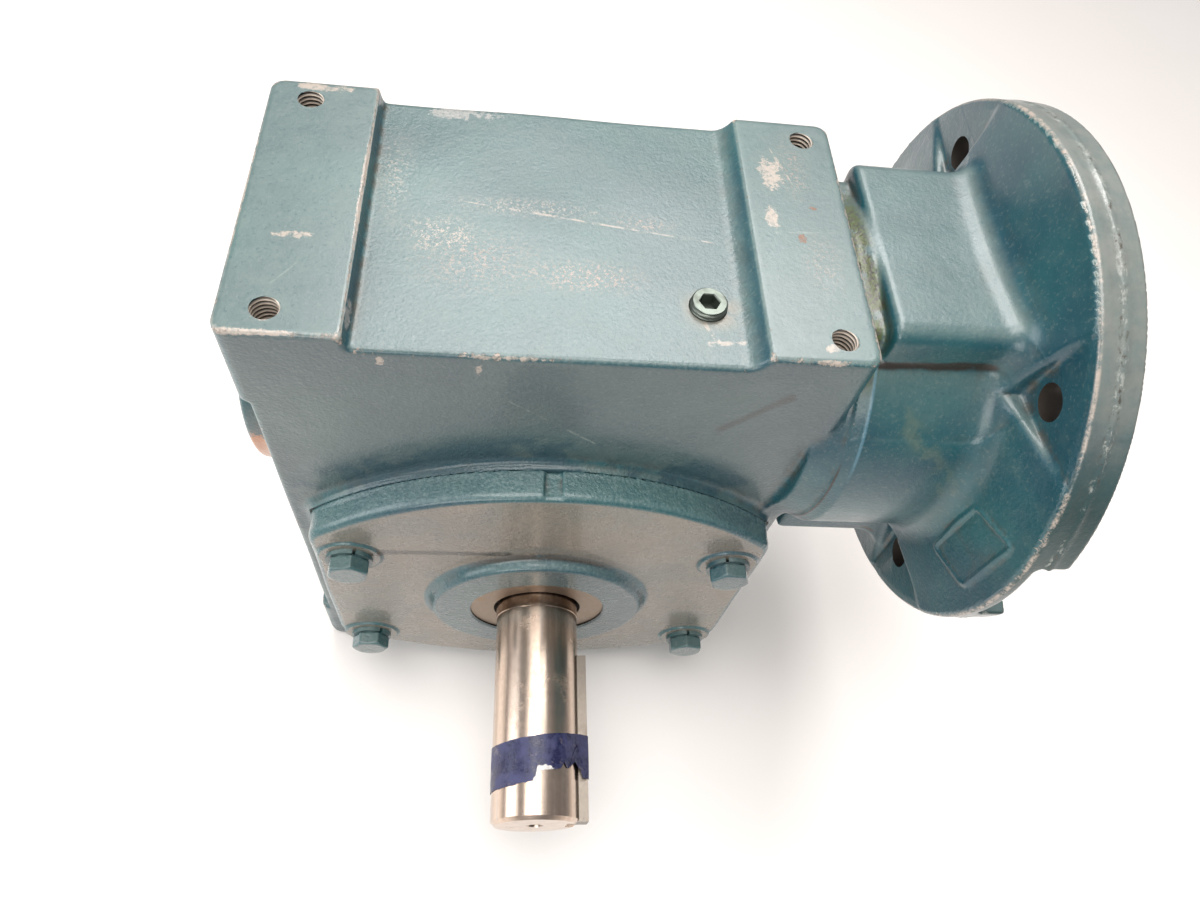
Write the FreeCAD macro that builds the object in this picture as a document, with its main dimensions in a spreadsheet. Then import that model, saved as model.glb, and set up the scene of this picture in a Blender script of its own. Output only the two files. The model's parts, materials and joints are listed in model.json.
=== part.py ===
import FreeCAD, Part
import math
import os
import re
from FreeCAD import Placement, Rotation, Vector

import Sketcher

# Right-angle worm gear reducer with a flanged motor side (all sizes in mm).
# Frame: +Z up, +X towards the motor, output shaft along -Y.  The origin is the centre of the
# four tapped holes in the feet, on the plane that the feet stand on.

DIMENSIONS = {
    # main geometry
    "output_x": 1.6, "output_z": 101.6, "worm_z": 203.2,
    # gear case
    "case_left": 107.4, "case_right": 107.6, "case_half": 61.6, "case_top": 279.4,
    "pad_drop": 6.0, "pad_left": 111.9, "pad_right": 109.1, "pad_inner": 70.4,
    "foot_space_x": 191.8, "foot_space_y": 101.6, "foot_hole": 5.36, "top_hole": 5.05,
    "foot_depth": 22.0,
    "wall_side": 12.0, "wall_end": 14.0, "ledge": 3.2, "opening": 79.0,
    # neck and motor flange
    "root_start": 97.0, "root_radius": 66.4, "root_wide": 71.6, "neck_start": 117.5, "neck_radius": 73.5, "hump_half": 46.0,
    "hump_top": 74.5, "flange_back": 173.6, "flange_thick": 18.7, "flange_radius": 114.3,
    "motor_circle": 184.15, "motor_hole": 7.14, "register": 107.95, "register_deep": 6.35,
    "notch_half": 22.0, "notch_web": 6.0, "end_plug_boss": 54.0, "end_plug_face": 116.4,
    "seat_shoulder": 31.0, "motor_space_near": 58.0, "motor_space_far": 78.0, "motor_space_x": 150.0,
    # covers
    "gasket": 0.4, "cover_back": 65.2, "cover_front": 78.3, "cover_half": 98.9,
    "arc_top": 105.1, "side_top": 64.1, "arc_bottom": 84.0, "side_bottom": 48.4,
    "arc_top_radius": 139.8, "arc_bottom_radius": 155.2, "spigot": 78.9, "spigot_end": 57.0,
    "hub_radius": 52.0, "hub_end": 41.0, "boss_radius": 49.8, "boss_face": 83.9,
    "seal_bore": 31.75, "seal_seat": 72.4, "web_hole": 24.5, "cup_seat": 66.6, "cup_radius": 41.275,
    "bolt_x": 82.8, "bolt_z": 48.15, "bolt_land": 13.0, "land_high": 1.0,
    # fasteners
    "bolt_radius": 5.5, "bolt_flats": 15.9, "bolt_head": 6.6, "bolt_length": 36.0,
    "washer_thick": 2.0, "washer_radius": 9.75, "washer_cut": 55.0, "head_turn": 17.0,
    "bolt_hole": 6.0, "tapped_hole": 5.56, "tapped_deep": 24.0, "tapped_end": 44.0,
    # output shaft, key and wheel
    "shaft_radius": 19.05, "shaft_end": 179.3, "seal_land": 19.3, "land_end": 88.0,
    "journal": 22.225, "cone_end": 65.0, "cone_face": 44.5, "wheel_seat": 25.4,
    "hub_front": 24.0, "hub_back": 20.0, "collar": 30.0, "key_width": 9.525, "key_top": 22.6,
    "key_seat": 13.2, "key_start": 107.0, "centre_drill": 3.85, "centre_deep": 5.6,
    "wheel_hub": 38.0, "web_half": 8.0, "rim_seat": 61.0, "wheel_key_deep": 6.35, "wheel_key_extra": 3.175,
    "rim_half": 16.0, "teeth": 40.0, "gear_module": 3.68, "backlash": 0.3,
    # worm shaft
    "worm_pitch_radius": 28.0, "worm_half": 38.0, "worm_turns": 6.0, "worm_body": 21.5,
    "quill_collar": 27.0, "collar_start": 100.0, "end_journal": 17.5, "end_seat": 90.4,
    "quill_journal": 22.5, "quill_seat": 114.0, "quill_end": 185.5, "quill_bore": 14.2875,
    "quill_bore_end": 112.0, "quill_key": 6.35, "quill_key_deep": 17.5,
    # rolling bearings
    "end_outer": 36.0, "end_wide": 17.0, "quill_outer": 42.5, "quill_wide": 19.0,
    "end_ball": 5.55, "quill_ball": 6.35, "end_ring": 109.3, "quill_ring": 133.4,
    "taper_cup_angle": 16.0, "taper_cone_angle": 12.0, "taper_apex": 182.3, "taper_rollers": 17.0,
    # plugs and tape
    "plug_x": 50.8, "plug_y": -34.6, "plug_radius": 6.4, "plug_proud": 3.0,
    "plug_socket": 6.35, "seal_gap": 1.4,
    "tape_start": 145.5, "tape_end": 167.0, "tape_thick": 0.3,
}

doc = FreeCAD.newDocument("WormReducer")
sheet = doc.addObject("Spreadsheet::Sheet", "Dims")
for row, (alias, number) in enumerate(DIMENSIONS.items(), start=1):
    sheet.set(f"A{row}", alias)
    sheet.set(f"B{row}", str(number))
    sheet.setAlias(f"B{row}", alias)
doc.recompute()


class Sizes:
    """Reads one driving dimension from the sheet: d.worm_z and so on."""

    def __getattr__(self, alias):
        return float(sheet.get(alias))


d = Sizes()
nodes = []

# Local frames: z of FRONT points out of the output side (-Y), z of REAR out of the blind side
# (+Y), z of WORM towards the motor (+X).
FRONT = Rotation(Vector(1, 0, 0), 90)
REAR = Rotation(Vector(0, 0, 1), 180).multiply(Rotation(Vector(1, 0, 0), 90))
WORM = Rotation(Vector(0, 1, 0), 90)


def place(node, rotation, shift=None):
    """Puts a local frame on the output axis or on the worm axis, shifted along X if asked."""
    node.Placement = Placement(Vector(0, 0, 0), rotation)
    on_worm = rotation is WORM
    if not on_worm:
        node.setExpression("Placement.Base.x", "Dims.output_x")
    node.setExpression("Placement.Base.z", "Dims.worm_z" if on_worm else "Dims.output_z")
    if shift:
        node.setExpression("Placement.Base.x", shift)
    nodes.append(node)
    return node


def add_shape(label, shape, rotation=None, shift=None):
    """A node whose shape is worked out here from the sheet."""
    node = doc.addObject("Part::Feature", label)
    node.Label = label
    node.Shape = shape
    if rotation is None:
        nodes.append(node)
        return node
    return place(node, rotation, shift)


def origin_plane(body, role):
    return next(f for f in body.Origin.OriginFeatures if f.Role == role)


def locate(sketch, geo, end, across, up):
    """Dimensions one point of a sketch; across and up are sheet expressions."""
    for kind, axis, text in (("DistanceX", -2, across), ("DistanceY", -1, up)):
        if text == "0":
            sketch.addConstraint(Sketcher.Constraint("PointOnObject", geo, end, axis))
            continue
        start = sketch.evalExpression(text)
        index = sketch.addConstraint(Sketcher.Constraint(kind, geo, end, float(start)))
        sketch.setExpression(f"Constraints[{index}]", text)


def outline_sketch(body, name, role, points):
    """Closed straight-sided outline through points given as (across, up) expressions."""
    sketch = body.newObject("Sketcher::SketchObject", name)
    sketch.AttachmentSupport = [(origin_plane(body, role), "")]
    sketch.MapMode = "FlatFace"
    at = [Vector(*[float(sketch.evalExpression(t)) for t in p], 0) for p in points]
    count = len(points)
    for i in range(count):
        sketch.addGeometry(Part.LineSegment(at[i], at[(i + 1) % count]))
    for i in range(count):
        sketch.addConstraint(Sketcher.Constraint("Coincident", i, 2, (i + 1) % count, 1))
    for i, (across, up) in enumerate(points):
        locate(sketch, i, 1, across, up)
    return sketch


def D(text):
    """Writes a sheet expression: words become references to cells."""
    return re.sub("[a-z_]+", lambda w: "Dims." + w[0] if w[0] in DIMENSIONS else w[0], text)


def turn(body, name, points, cut=False):
    """Adds (or cuts) a turned form; points are (radius, along) in sheet words."""
    sketch = outline_sketch(body, name + "Sketch", "XZ_Plane", [(D(r), D(z)) for r, z in points])
    feature = body.newObject("PartDesign::Groove" if cut else "PartDesign::Revolution", name)
    feature.Profile = sketch
    feature.ReferenceAxis = (sketch, ["V_Axis"])
    feature.Angle = 360
    return feature


def turned(label, points, rotation):
    """A whole node turned from one outline."""
    body = doc.addObject("PartDesign::Body", label)
    body.Label = label
    turn(body, label + "Turn", points)
    return place(body, rotation)


def block(x0, x1, y0, y1, z0, z1):
    return Part.makeBox(x1 - x0, y1 - y0, z1 - z0, Vector(x0, y0, z0))


def rod(radius, length, base, axis):
    return Part.makeCylinder(radius, length, base, axis)


def rounded(shape, radius, pick):
    """Rounds the straight edges whose middle point satisfies pick."""
    edges = [e for e in shape.Edges if pick(e, e.CenterOfMass)]
    return shape.makeFillet(radius, edges) if edges else shape


def along(edge, axis):
    """True for a straight edge that runs along the axis."""
    if edge.Curve.TypeId != "Part::GeomLine":
        return False
    return abs(edge.tangentAt(edge.FirstParameter).dot(axis)) > 0.999


X, Y, Z = Vector(1, 0, 0), Vector(0, 1, 0), Vector(0, 0, 1)


def prism(points, depth_vector):
    wire = Part.makePolygon([*points, points[0]])
    return Part.Face(wire).extrude(depth_vector)


def ring_of(shape, count, axis=Z, centre=Vector(0, 0, 0)):
    """Copies of a shape spaced evenly round an axis."""
    copies = []
    for i in range(int(count)):
        copy = shape.copy()
        copy.rotate(centre, axis, 360.0 * i / int(count))
        copies.append(copy)
    return copies


# ---------------------------------------------------------------- cover outline

def cover_points():
    """Corners of the cover outline and the crowns of its two arcs, about the output axis."""
    half, top, low = d.cover_half, d.side_top, d.side_bottom
    return (Vector(-half, -low, 0), Vector(-half, top, 0), Vector(0, d.arc_top, 0),
            Vector(half, top, 0), Vector(half, -low, 0), Vector(0, -d.arc_bottom, 0))


def cover_face():
    """Straight sides, a full top arc and a flatter bottom arc."""
    a, b, crown, c, e, sag = cover_points()
    edges = [Part.LineSegment(a, b).toShape(), Part.Arc(b, crown, c).toShape(),
             Part.LineSegment(c, e).toShape(), Part.Arc(e, sag, a).toShape()]
    return Part.Face(Part.Wire(edges))


def cover_bolt_places():
    return [(sx * d.bolt_x, sz * d.bolt_z) for sx in (-1, 1) for sz in (-1, 1)]


# ---------------------------------------------------------------- housing casting

def case_block():
    """Gear case with its machined foot strips, from one profile run along Y."""
    strip, step = 41.0, 5.0
    left, right, drop, top = d.pad_left, d.pad_right, d.pad_drop, d.case_top
    inner, middle = d.pad_inner, d.case_top / 2
    half = []
    for sign in (1, -1):
        def level(z):
            return middle + sign * (z - middle)
        side = [(-left, level(top - strip)), (-left, level(top)), (-inner, level(top)),
                (-inner + drop * 0.6, level(top - drop)), (inner - step, level(top - drop)),
                (inner, level(top)), (right, level(top)), (right, level(top - strip))]
        half.append(side)
    right_edge = [(d.case_right, top - strip - step), (d.case_right, strip + step)]
    left_edge = [(-d.case_left, strip + step), (-d.case_left, top - strip - step)]
    outline = half[0] + right_edge + half[1][::-1] + left_edge
    solid = prism([Vector(x, -d.case_half, z) for x, z in outline], Vector(0, 2 * d.case_half, 0))
    solid = rounded(solid, 8.0, lambda e, m: along(e, Y) and m.z < 1.0 and abs(m.x) > 100.0)
    plan = block(-left, right, -d.case_half, d.case_half, -1.0, top + 1.0)
    return solid.common(rounded(plan, 5.0, lambda e, m: along(e, Z)))


def neck_solid():
    """Tapered root, then a round neck with flat-topped humps, up to the motor flange."""
    axis = Vector(0, 0, d.worm_z)
    start, back = d.neck_start, d.flange_back
    root = Part.makeCone(d.root_radius, d.root_wide, start - d.root_start + 1.0,
                         axis + Vector(d.root_start, 0, 0), X)
    seat = rod(d.case_half - 2.0, d.root_start - 90.0, axis + Vector(90.0, 0, 0), X)
    neck = rod(d.neck_radius, back - start, axis + Vector(start, 0, 0), X)
    hump = block(start, back, -d.hump_half, d.hump_half, d.worm_z - d.hump_top, d.worm_z + d.hump_top)
    hump = rounded(hump, 8.0, lambda e, m: along(e, X))
    both = neck.fuse(hump).removeSplitter()
    both = rounded(both, 3.0, lambda e, m: m.x < start + 0.1)
    return root.multiFuse([seat, both])


def lobes():
    """Four low flared lobes that carry the neck out to the flange rim."""
    back, outer = d.flange_back, d.flange_radius
    profile = [(back - 30.0, 50.0), (back - 30.0, 73.5), (back - 17.0, 74.5), (back - 11.5, 77.5),
               (back - 8.5, 83.0), (back - 6.5, 90.0), (back, outer - 1.0), (back, 50.0)]
    wire = Part.makePolygon([Vector(x, 0, r) for x, r in profile + profile[:1]])
    cone = Part.Face(wire).revolve(Vector(0, 0, 0), X, 360)
    wide, narrow = 54.0, 46.0
    mask = prism([Vector(back - 31.0, y, z) for y, z in
                  ((-narrow, 0), (narrow, 0), (wide, outer), (-wide, outer))], Vector(31.0, 0, 0))
    sectors = ring_of(mask, 4, X)
    star = sectors[0].multiFuse(sectors[1:])
    shape = cone.common(star)
    shape.translate(Vector(0, 0, d.worm_z))
    return shape


def flange_disc():
    axis = Vector(d.flange_back, 0, d.worm_z)
    disc = rod(d.flange_radius, d.flange_thick, axis, X)
    disc = disc.makeChamfer(0.8, [e for e in disc.Edges if e.Curve.TypeId == "Part::GeomCircle"])
    notch = block(d.flange_back + d.notch_web, d.flange_back + d.flange_thick + 1,
                  -d.flange_radius - 5, -d.register + 4, d.worm_z - d.notch_half,
                  d.worm_z + d.notch_half)
    return disc.cut(notch)


def housing_outside():
    parts = [neck_solid(), lobes(), flange_disc()]
    ledge = cover_face().extrude(Vector(0, 0, d.case_half + d.ledge))
    for rotation in (FRONT, REAR):
        pad = ledge.copy()
        pad.Placement = Placement(Vector(d.output_x, 0, d.output_z), rotation)
        parts.append(pad.common(block(-200, 200, -80, 80, 6.0, 280)))
    boss = rod(d.end_plug_boss, 40.0, Vector(-d.end_plug_face, 0, d.worm_z), X)
    rim = [e for e in boss.Edges if e.Curve.TypeId == "Part::GeomCircle" and e.CenterOfMass.x < -100]
    parts.append(boss.makeFillet(2.5, rim))
    return case_block().multiFuse(parts).removeSplitter()


def housing_hollows():
    """Everything that is cored or machined away."""
    centre = Vector(0, 0, d.worm_z)
    face = d.flange_back + d.flange_thick
    chamber = block(-d.case_left + d.wall_side, d.case_right - d.wall_side,
                    -d.case_half + d.wall_side, d.case_half - d.wall_side,
                    d.wall_end, d.case_top - d.wall_end - 1.4)
    chamber = rounded(chamber, 8.0, lambda e, m: along(e, Z) or along(e, Y))
    seat_boss = rod(46.0, 9.0, centre + Vector(-96.4, 0, 0), X)
    hollows = [chamber.cut(seat_boss)]
    hollows.append(rod(d.opening, 140.0, Vector(d.output_x, -70.0, d.output_z), Y))
    # end bearing seat, snap-ring groove and plug bore
    hollows.append(rod(d.end_outer, 26.0, centre + Vector(-d.end_plug_face, 0, 0), X))
    hollows.append(rod(d.end_outer + 2.0, 1.9, centre + Vector(-d.end_ring - 0.1, 0, 0), X))
    hollows.append(rod(d.seat_shoulder, 8.0, centre + Vector(-94.0, 0, 0), X))
    # motor-side bearing seat, snap-ring groove and coupling space
    hollows.append(rod(36.0, 30.0, centre + Vector(90.0, 0, 0), X))
    hollows.append(rod(d.quill_outer, 38.0, centre + Vector(d.quill_seat, 0, 0), X))
    hollows.append(rod(d.quill_outer + 2.2, 2.2, centre + Vector(d.quill_ring - 0.1, 0, 0), X))
    hollows.append(Part.makeCone(d.motor_space_near, d.motor_space_far, face - d.motor_space_x,
                                 centre + Vector(d.motor_space_x, 0, 0), X))
    hollows.append(rod(d.register, 20.0, centre + Vector(face - d.register_deep, 0, 0), X))
    # through holes for the motor screws
    hole = rod(d.motor_hole, 40.0, centre + Vector(d.flange_back - 12.0, 0, d.motor_circle / 2), X)
    hole.rotate(centre, X, 45)
    hollows += ring_of(hole, 4, X, centre)
    # tapped holes in the foot strips, top and bottom
    for sx in (-0.5, 0.5):
        for sy in (-0.5, 0.5):
            at = Vector(sx * d.foot_space_x, sy * d.foot_space_y, 0)
            hollows.append(rod(d.foot_hole, d.foot_depth, at, Z))
            hollows.append(rod(d.top_hole, d.foot_depth, at + Vector(0, 0, d.case_top), -Z))
    # tapped holes for the cover bolts, front and back
    for x, z in cover_bolt_places():
        for rotation in (FRONT, REAR):
            hole = rod(d.tapped_hole, d.tapped_deep, Vector(x, z, d.tapped_end), Z)
            hole.Placement = Placement(Vector(d.output_x, 0, d.output_z), rotation)
            hollows.append(hole)
    # oil plugs
    plug_at = Vector(d.plug_x, d.plug_y, 0)
    hollows.append(rod(d.plug_radius + 0.05, 30.0, plug_at + Vector(0, 0, 255.0), Z))
    hollows.append(rod(d.plug_radius + 0.05, 30.0, plug_at + Vector(0, 0, -10.0), Z))
    return hollows


def bolt_bosses():
    """Iron left around the blind bolt holes inside the chamber walls."""
    posts = []
    for x, z in cover_bolt_places():
        for rotation in (FRONT, REAR):
            post = rod(10.5, 22.0, Vector(x, z, 41.0), Z)
            post.Placement = Placement(Vector(d.output_x, 0, d.output_z), rotation)
            posts.append(post)
    keep = block(-d.case_left + 1, d.case_right - 1, -d.case_half + 1, d.case_half - 1, 8, 270)
    clear = rod(d.opening, 140.0, Vector(d.output_x, -70.0, d.output_z), Y)
    return [p.common(keep).cut(clear) for p in posts]


def housing_shape():
    body = housing_outside()
    hollows = housing_hollows()
    chamber, rest = hollows[0], hollows[1:]
    body = body.cut(chamber).multiFuse(bolt_bosses())
    return body.cut(rest).removeSplitter()


add_shape("housing", housing_shape())


# ---------------------------------------------------------------- covers, gaskets, bolts

def cover_body(label, rotation, seal):
    """Bearing carrier: outlined plate, spigot, hub and boss; the seal side is open."""
    body = doc.addObject("PartDesign::Body", label)
    body.Label = label
    sketch = body.newObject("Sketcher::SketchObject", label + "Outline")
    sketch.AttachmentSupport = [(origin_plane(body, "XY_Plane"), "")]
    sketch.MapMode = "FlatFace"
    a, b, crown, c, e, sag = cover_points()
    for geometry in (Part.LineSegment(a, b), Part.Arc(c, crown, b), Part.LineSegment(c, e),
                     Part.Arc(a, sag, e)):
        sketch.addGeometry(geometry)
    half, top, low = D("cover_half"), D("side_top"), D("side_bottom")
    locate(sketch, 0, 1, "-" + half, "-" + low)
    locate(sketch, 0, 2, "-" + half, top)
    locate(sketch, 2, 1, half, top)
    locate(sketch, 2, 2, half, "-" + low)
    for arc, radius in ((1, "arc_top_radius"), (3, "arc_bottom_radius")):
        index = sketch.addConstraint(Sketcher.Constraint("Radius", arc, getattr(d, radius)))
        sketch.setExpression(f"Constraints[{index}]", D(radius))
    for side, side_end, arc, arc_end in ((0, 2, 1, 2), (2, 1, 1, 1), (2, 2, 3, 2), (0, 1, 3, 1)):
        sketch.addConstraint(Sketcher.Constraint("Coincident", side, side_end, arc, arc_end))
    sketch.setExpression("AttachmentOffset.Base.z", D("cover_back"))
    plate = body.newObject("PartDesign::Pad", label + "Plate")
    plate.Profile = sketch
    plate.setExpression("Length", D("cover_front - cover_back"))
    turn(body, label + "Hub", [
        ("0", "hub_end"), ("hub_radius", "hub_end"), ("hub_radius", "spigot_end"),
        ("spigot", "spigot_end"), ("spigot", "cover_back + 1"), ("boss_radius + 3.5", "cover_back + 1"),
        ("boss_radius + 3.5", "cover_front"), ("boss_radius + 0.6", "cover_front + 1.6"),
        ("boss_radius", "boss_face - 1.4"), ("boss_radius - 1.4", "boss_face"), ("0", "boss_face")])
    turn(body, label + "CupBore", [("0", "hub_end - 1"), ("cup_radius", "hub_end - 1"),
                                   ("cup_radius", "cup_seat"), ("0", "cup_seat")], cut=True)
    if seal:
        turn(body, label + "SealBore", [
            ("0", "cup_seat - 1"), ("web_hole", "cup_seat - 1"), ("web_hole", "seal_seat"),
            ("seal_bore", "seal_seat"), ("seal_bore", "boss_face + 1"), ("0", "boss_face + 1")],
            cut=True)
    holes = body.newObject("Sketcher::SketchObject", label + "Holes")
    holes.AttachmentSupport = [(origin_plane(body, "XY_Plane"), "")]
    holes.MapMode = "FlatFace"
    lands = body.newObject("Sketcher::SketchObject", label + "Lands")
    lands.AttachmentSupport = [(origin_plane(body, "XY_Plane"), "")]
    lands.MapMode = "FlatFace"
    for target, size in ((holes, "bolt_hole"), (lands, "bolt_land")):
        for i, (x, z) in enumerate(cover_bolt_places()):
            target.addGeometry(Part.Circle(Vector(x, z, 0), Z, getattr(d, size)))
            signs = ("-" if x < 0 else "", "-" if z < 0 else "")
            locate(target, i, 3, signs[0] + D("bolt_x"), signs[1] + D("bolt_z"))
            index = target.addConstraint(Sketcher.Constraint("Radius", i, getattr(d, size)))
            target.setExpression(f"Constraints[{index}]", D(size))
    lands.setExpression("AttachmentOffset.Base.z", D("cover_front - 1"))
    land = body.newObject("PartDesign::Pad", label + "Land")
    land.Profile = lands
    land.setExpression("Length", D("land_high + 1"))
    drill = body.newObject("PartDesign::Pocket", label + "Drill")
    drill.Profile = holes
    drill.Type = "ThroughAll"
    drill.Midplane = True
    return place(body, rotation)


def gasket_shape():
    sheet_of = cover_face().extrude(Vector(0, 0, d.gasket))
    sheet_of.translate(Vector(0, 0, d.cover_back - d.gasket))
    cuts = [rod(d.opening, 20, Vector(0, 0, 55), Z)]
    cuts += [rod(d.bolt_hole, 20, Vector(x, z, 55), Z) for x, z in cover_bolt_places()]
    return sheet_of.cut(cuts)


def bolt_seat():
    return d.cover_front + d.land_high


def hexagon(corner, z):
    """Corners of a hexagon about the z axis."""
    turns = [math.radians(60 * i) for i in range(6)]
    return [Vector(corner * math.cos(t), corner * math.sin(t), z) for t in turns]


def hex_bolt():
    """Hex-head bolt standing on its lock washer, head chamfered."""
    under = bolt_seat() + d.washer_thick
    corner = d.bolt_flats / math.sqrt(3)
    head = prism(hexagon(corner, under), Vector(0, 0, d.bolt_head))
    cone = Part.makeCone(corner + 5.0, corner - 0.9, d.bolt_head, Vector(0, 0, under), Z)
    shank = rod(d.bolt_radius, d.bolt_length + 1, Vector(0, 0, under - d.bolt_length), Z)
    tip = [e for e in shank.Edges if e.Curve.TypeId == "Part::GeomCircle" and e.CenterOfMass.z < 60]
    shank = shank.makeChamfer(0.8, tip)
    return head.common(cone).fuse(shank).removeSplitter()


def lock_washer():
    """Split spring washer with its cut standing at the upper right."""
    ring = rod(d.washer_radius, d.washer_thick, Vector(0, 0, bolt_seat()), Z)
    ring = ring.cut(rod(d.bolt_radius + 0.25, 10, Vector(0, 0, bolt_seat() - 2), Z))
    slit = block(0, 20, -0.7, 0.7, bolt_seat() - 1, bolt_seat() + 5)
    slit.rotate(Vector(0, 0, 0), Z, d.washer_cut)
    return ring.cut(slit)


def set_of_four(single):
    copies = []
    for i, (x, z) in enumerate(cover_bolt_places()):
        copy = single.copy()
        copy.rotate(Vector(0, 0, 0), Z, d.head_turn * i)
        copy.translate(Vector(x, z, 0))
        copies.append(copy)
    return Part.makeCompound(copies)


for side, rotation in (("front", FRONT), ("rear", REAR)):
    name = "output_cover" if side == "front" else "rear_cover"
    cover_body(name, rotation, seal=side == "front")
    add_shape("cover_gasket_" + side, gasket_shape(), rotation)
    add_shape("cover_bolts_" + side, set_of_four(hex_bolt()), rotation)
    add_shape("lock_washers_" + side, set_of_four(lock_washer()), rotation)


# ---------------------------------------------------------------- output shaft group

def output_shaft():
    body = doc.addObject("PartDesign::Body", "output_shaft")
    body.Label = "output_shaft"
    turn(body, "ShaftTurn", [
        ("0", "0 - cone_end - 1.5"), ("journal - 1", "0 - cone_end - 1.5"),
        ("journal", "0 - cone_end - 0.5"), ("journal", "0 - cone_face"), ("collar", "0 - cone_face"),
        ("collar", "0 - hub_back"), ("wheel_seat", "0 - hub_back"), ("wheel_seat", "hub_front"),
        ("journal", "hub_front"), ("journal", "cup_seat + 3"), ("seal_land", "cup_seat + 4.5"),
        ("seal_land", "land_end"), ("shaft_radius", "land_end + 0.4"),
        ("shaft_radius", "shaft_end - 1.6"), ("shaft_radius - 1.6", "shaft_end"),
        ("centre_drill", "shaft_end"), ("0", "shaft_end - centre_deep")])
    for label, level, start, end, width in (
            ("KeySeat", "key_seat", "key_start", "shaft_end + 1", "key_width"),
            ("WheelKeySeat", "wheel_seat - wheel_key_deep", "0 - hub_back", "hub_front",
             "key_width + wheel_key_extra")):
        half = D("( " + width + " ) / 2")
        seat = outline_sketch(body, label + "Sketch", "XY_Plane", [
            (D(level), "-(" + half + ")"), (D("collar + 5"), "-(" + half + ")"),
            (D("collar + 5"), half), (D(level), half)])
        seat.setExpression("AttachmentOffset.Base.z", D(start))
        pocket = body.newObject("PartDesign::Pocket", label)
        pocket.Profile = seat
        pocket.Reversed = True
        pocket.setExpression("Length", D(end + " - ( " + start + " )"))
    return place(body, FRONT)


def key_block(low, top, width, start, end):
    return block(low, top, -width / 2, width / 2, start, end)


def wheel_hub():
    body = doc.addObject("PartDesign::Body", "wheel_hub")
    body.Label = "wheel_hub"
    turn(body, "HubTurn", [
        ("wheel_seat", "0 - hub_back"), ("wheel_hub", "0 - hub_back"), ("wheel_hub + 3", "0 - web_half"),
        ("rim_seat - 7", "0 - web_half"), ("rim_seat - 5", "0 - rim_half"), ("rim_seat", "0 - rim_half"),
        ("rim_seat", "rim_half"), ("rim_seat - 5", "rim_half"), ("rim_seat - 7", "web_half"),
        ("wheel_hub + 3", "web_half"), ("wheel_hub", "hub_front"), ("wheel_seat", "hub_front")])
    half = D("( key_width + wheel_key_extra ) / 2")
    seat = outline_sketch(body, "HubKeySketch", "XY_Plane", [
        (D("wheel_seat - 3"), "-(" + half + ")"), (D("wheel_seat + wheel_key_deep"), "-(" + half + ")"),
        (D("wheel_seat + wheel_key_deep"), half), (D("wheel_seat - 3"), half)])
    pocket = body.newObject("PartDesign::Pocket", "HubKeySeat")
    pocket.Profile = seat
    pocket.Type = "ThroughAll"
    pocket.Midplane = True
    return place(body, FRONT)


def involute_half_angle(radius, pitch_radius, half_at_pitch, pressure):
    """Half the angle of a tooth gap at a radius, for an involute flank."""
    base = pitch_radius * math.cos(pressure)
    roll = math.acos(min(1.0, base / radius))
    return half_at_pitch + (math.tan(roll) - roll) - (math.tan(pressure) - pressure)


def wheel_rim():
    """Bronze rim with straight slanted teeth that follow the worm's lead."""
    module, teeth = d.gear_module, int(d.teeth)
    pitch_radius, pressure = module * teeth / 2, math.radians(20)
    tip, root = pitch_radius + module, pitch_radius - 1.25 * module
    ring = rod(tip, 2 * d.rim_half, Vector(0, 0, -d.rim_half), Z)
    ring = ring.cut(rod(d.rim_seat, 80, Vector(0, 0, -40), Z))
    ring = ring.makeChamfer(1.2, [e for e in ring.Edges if e.Curve.TypeId == "Part::GeomCircle"
                                  and e.Curve.Radius > tip - 0.1])
    half_at_pitch = math.pi / (2 * teeth) + d.backlash / pitch_radius
    lead = math.pi * module / (2 * math.pi * d.worm_pitch_radius)
    reach, side = d.rim_half + 2.0, {}
    for radius in (root, pitch_radius - 0.5 * module, pitch_radius + 0.3 * module, tip + 0.6):
        angle = involute_half_angle(max(radius, pitch_radius * math.cos(pressure)), pitch_radius,
                                    half_at_pitch, pressure)
        side[radius] = radius * math.tan(angle)
    left = [Vector(-x, r, 0) for r, x in sorted(side.items())]
    right = [Vector(x, r, 0) for r, x in sorted(side.items(), reverse=True)]
    # local z is -Y of the frame, so the slant has the opposite sign here
    shift = Vector(lead * reach, 0, -reach)
    gap = prism([p - shift for p in left + right], shift * 2)
    gaps = ring_of(gap, teeth)
    return ring.cut(gaps)


output_shaft()
add_shape("output_key", key_block(d.key_seat, d.key_top, d.key_width, d.key_start,
                                  d.shaft_end - 0.8), FRONT)
add_shape("wheel_key", key_block(d.wheel_seat - d.wheel_key_deep, d.wheel_seat + d.wheel_key_deep,
                                 d.key_width + d.wheel_key_extra, -d.hub_back + 0.5,
                                 d.hub_front - 0.5), FRONT)
wheel_hub()
add_shape("wheel_rim", wheel_rim(), FRONT)
turned("shaft_spacer", [("journal", "hub_front"), ("journal + 6", "hub_front"),
                        ("journal + 6", "cone_face"), ("journal", "cone_face")], FRONT)


# ---------------------------------------------------------------- tapered roller bearings

CONE_SLOPE = "tan( taper_cone_angle * 1 deg )"
CUP_SLOPE = "tan( taper_cup_angle * 1 deg )"


def cone_at(z):
    return f"( taper_apex - {z} ) * {CONE_SLOPE}"


def cup_at(z):
    return f"( taper_apex - {z} ) * {CUP_SLOPE}"


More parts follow.
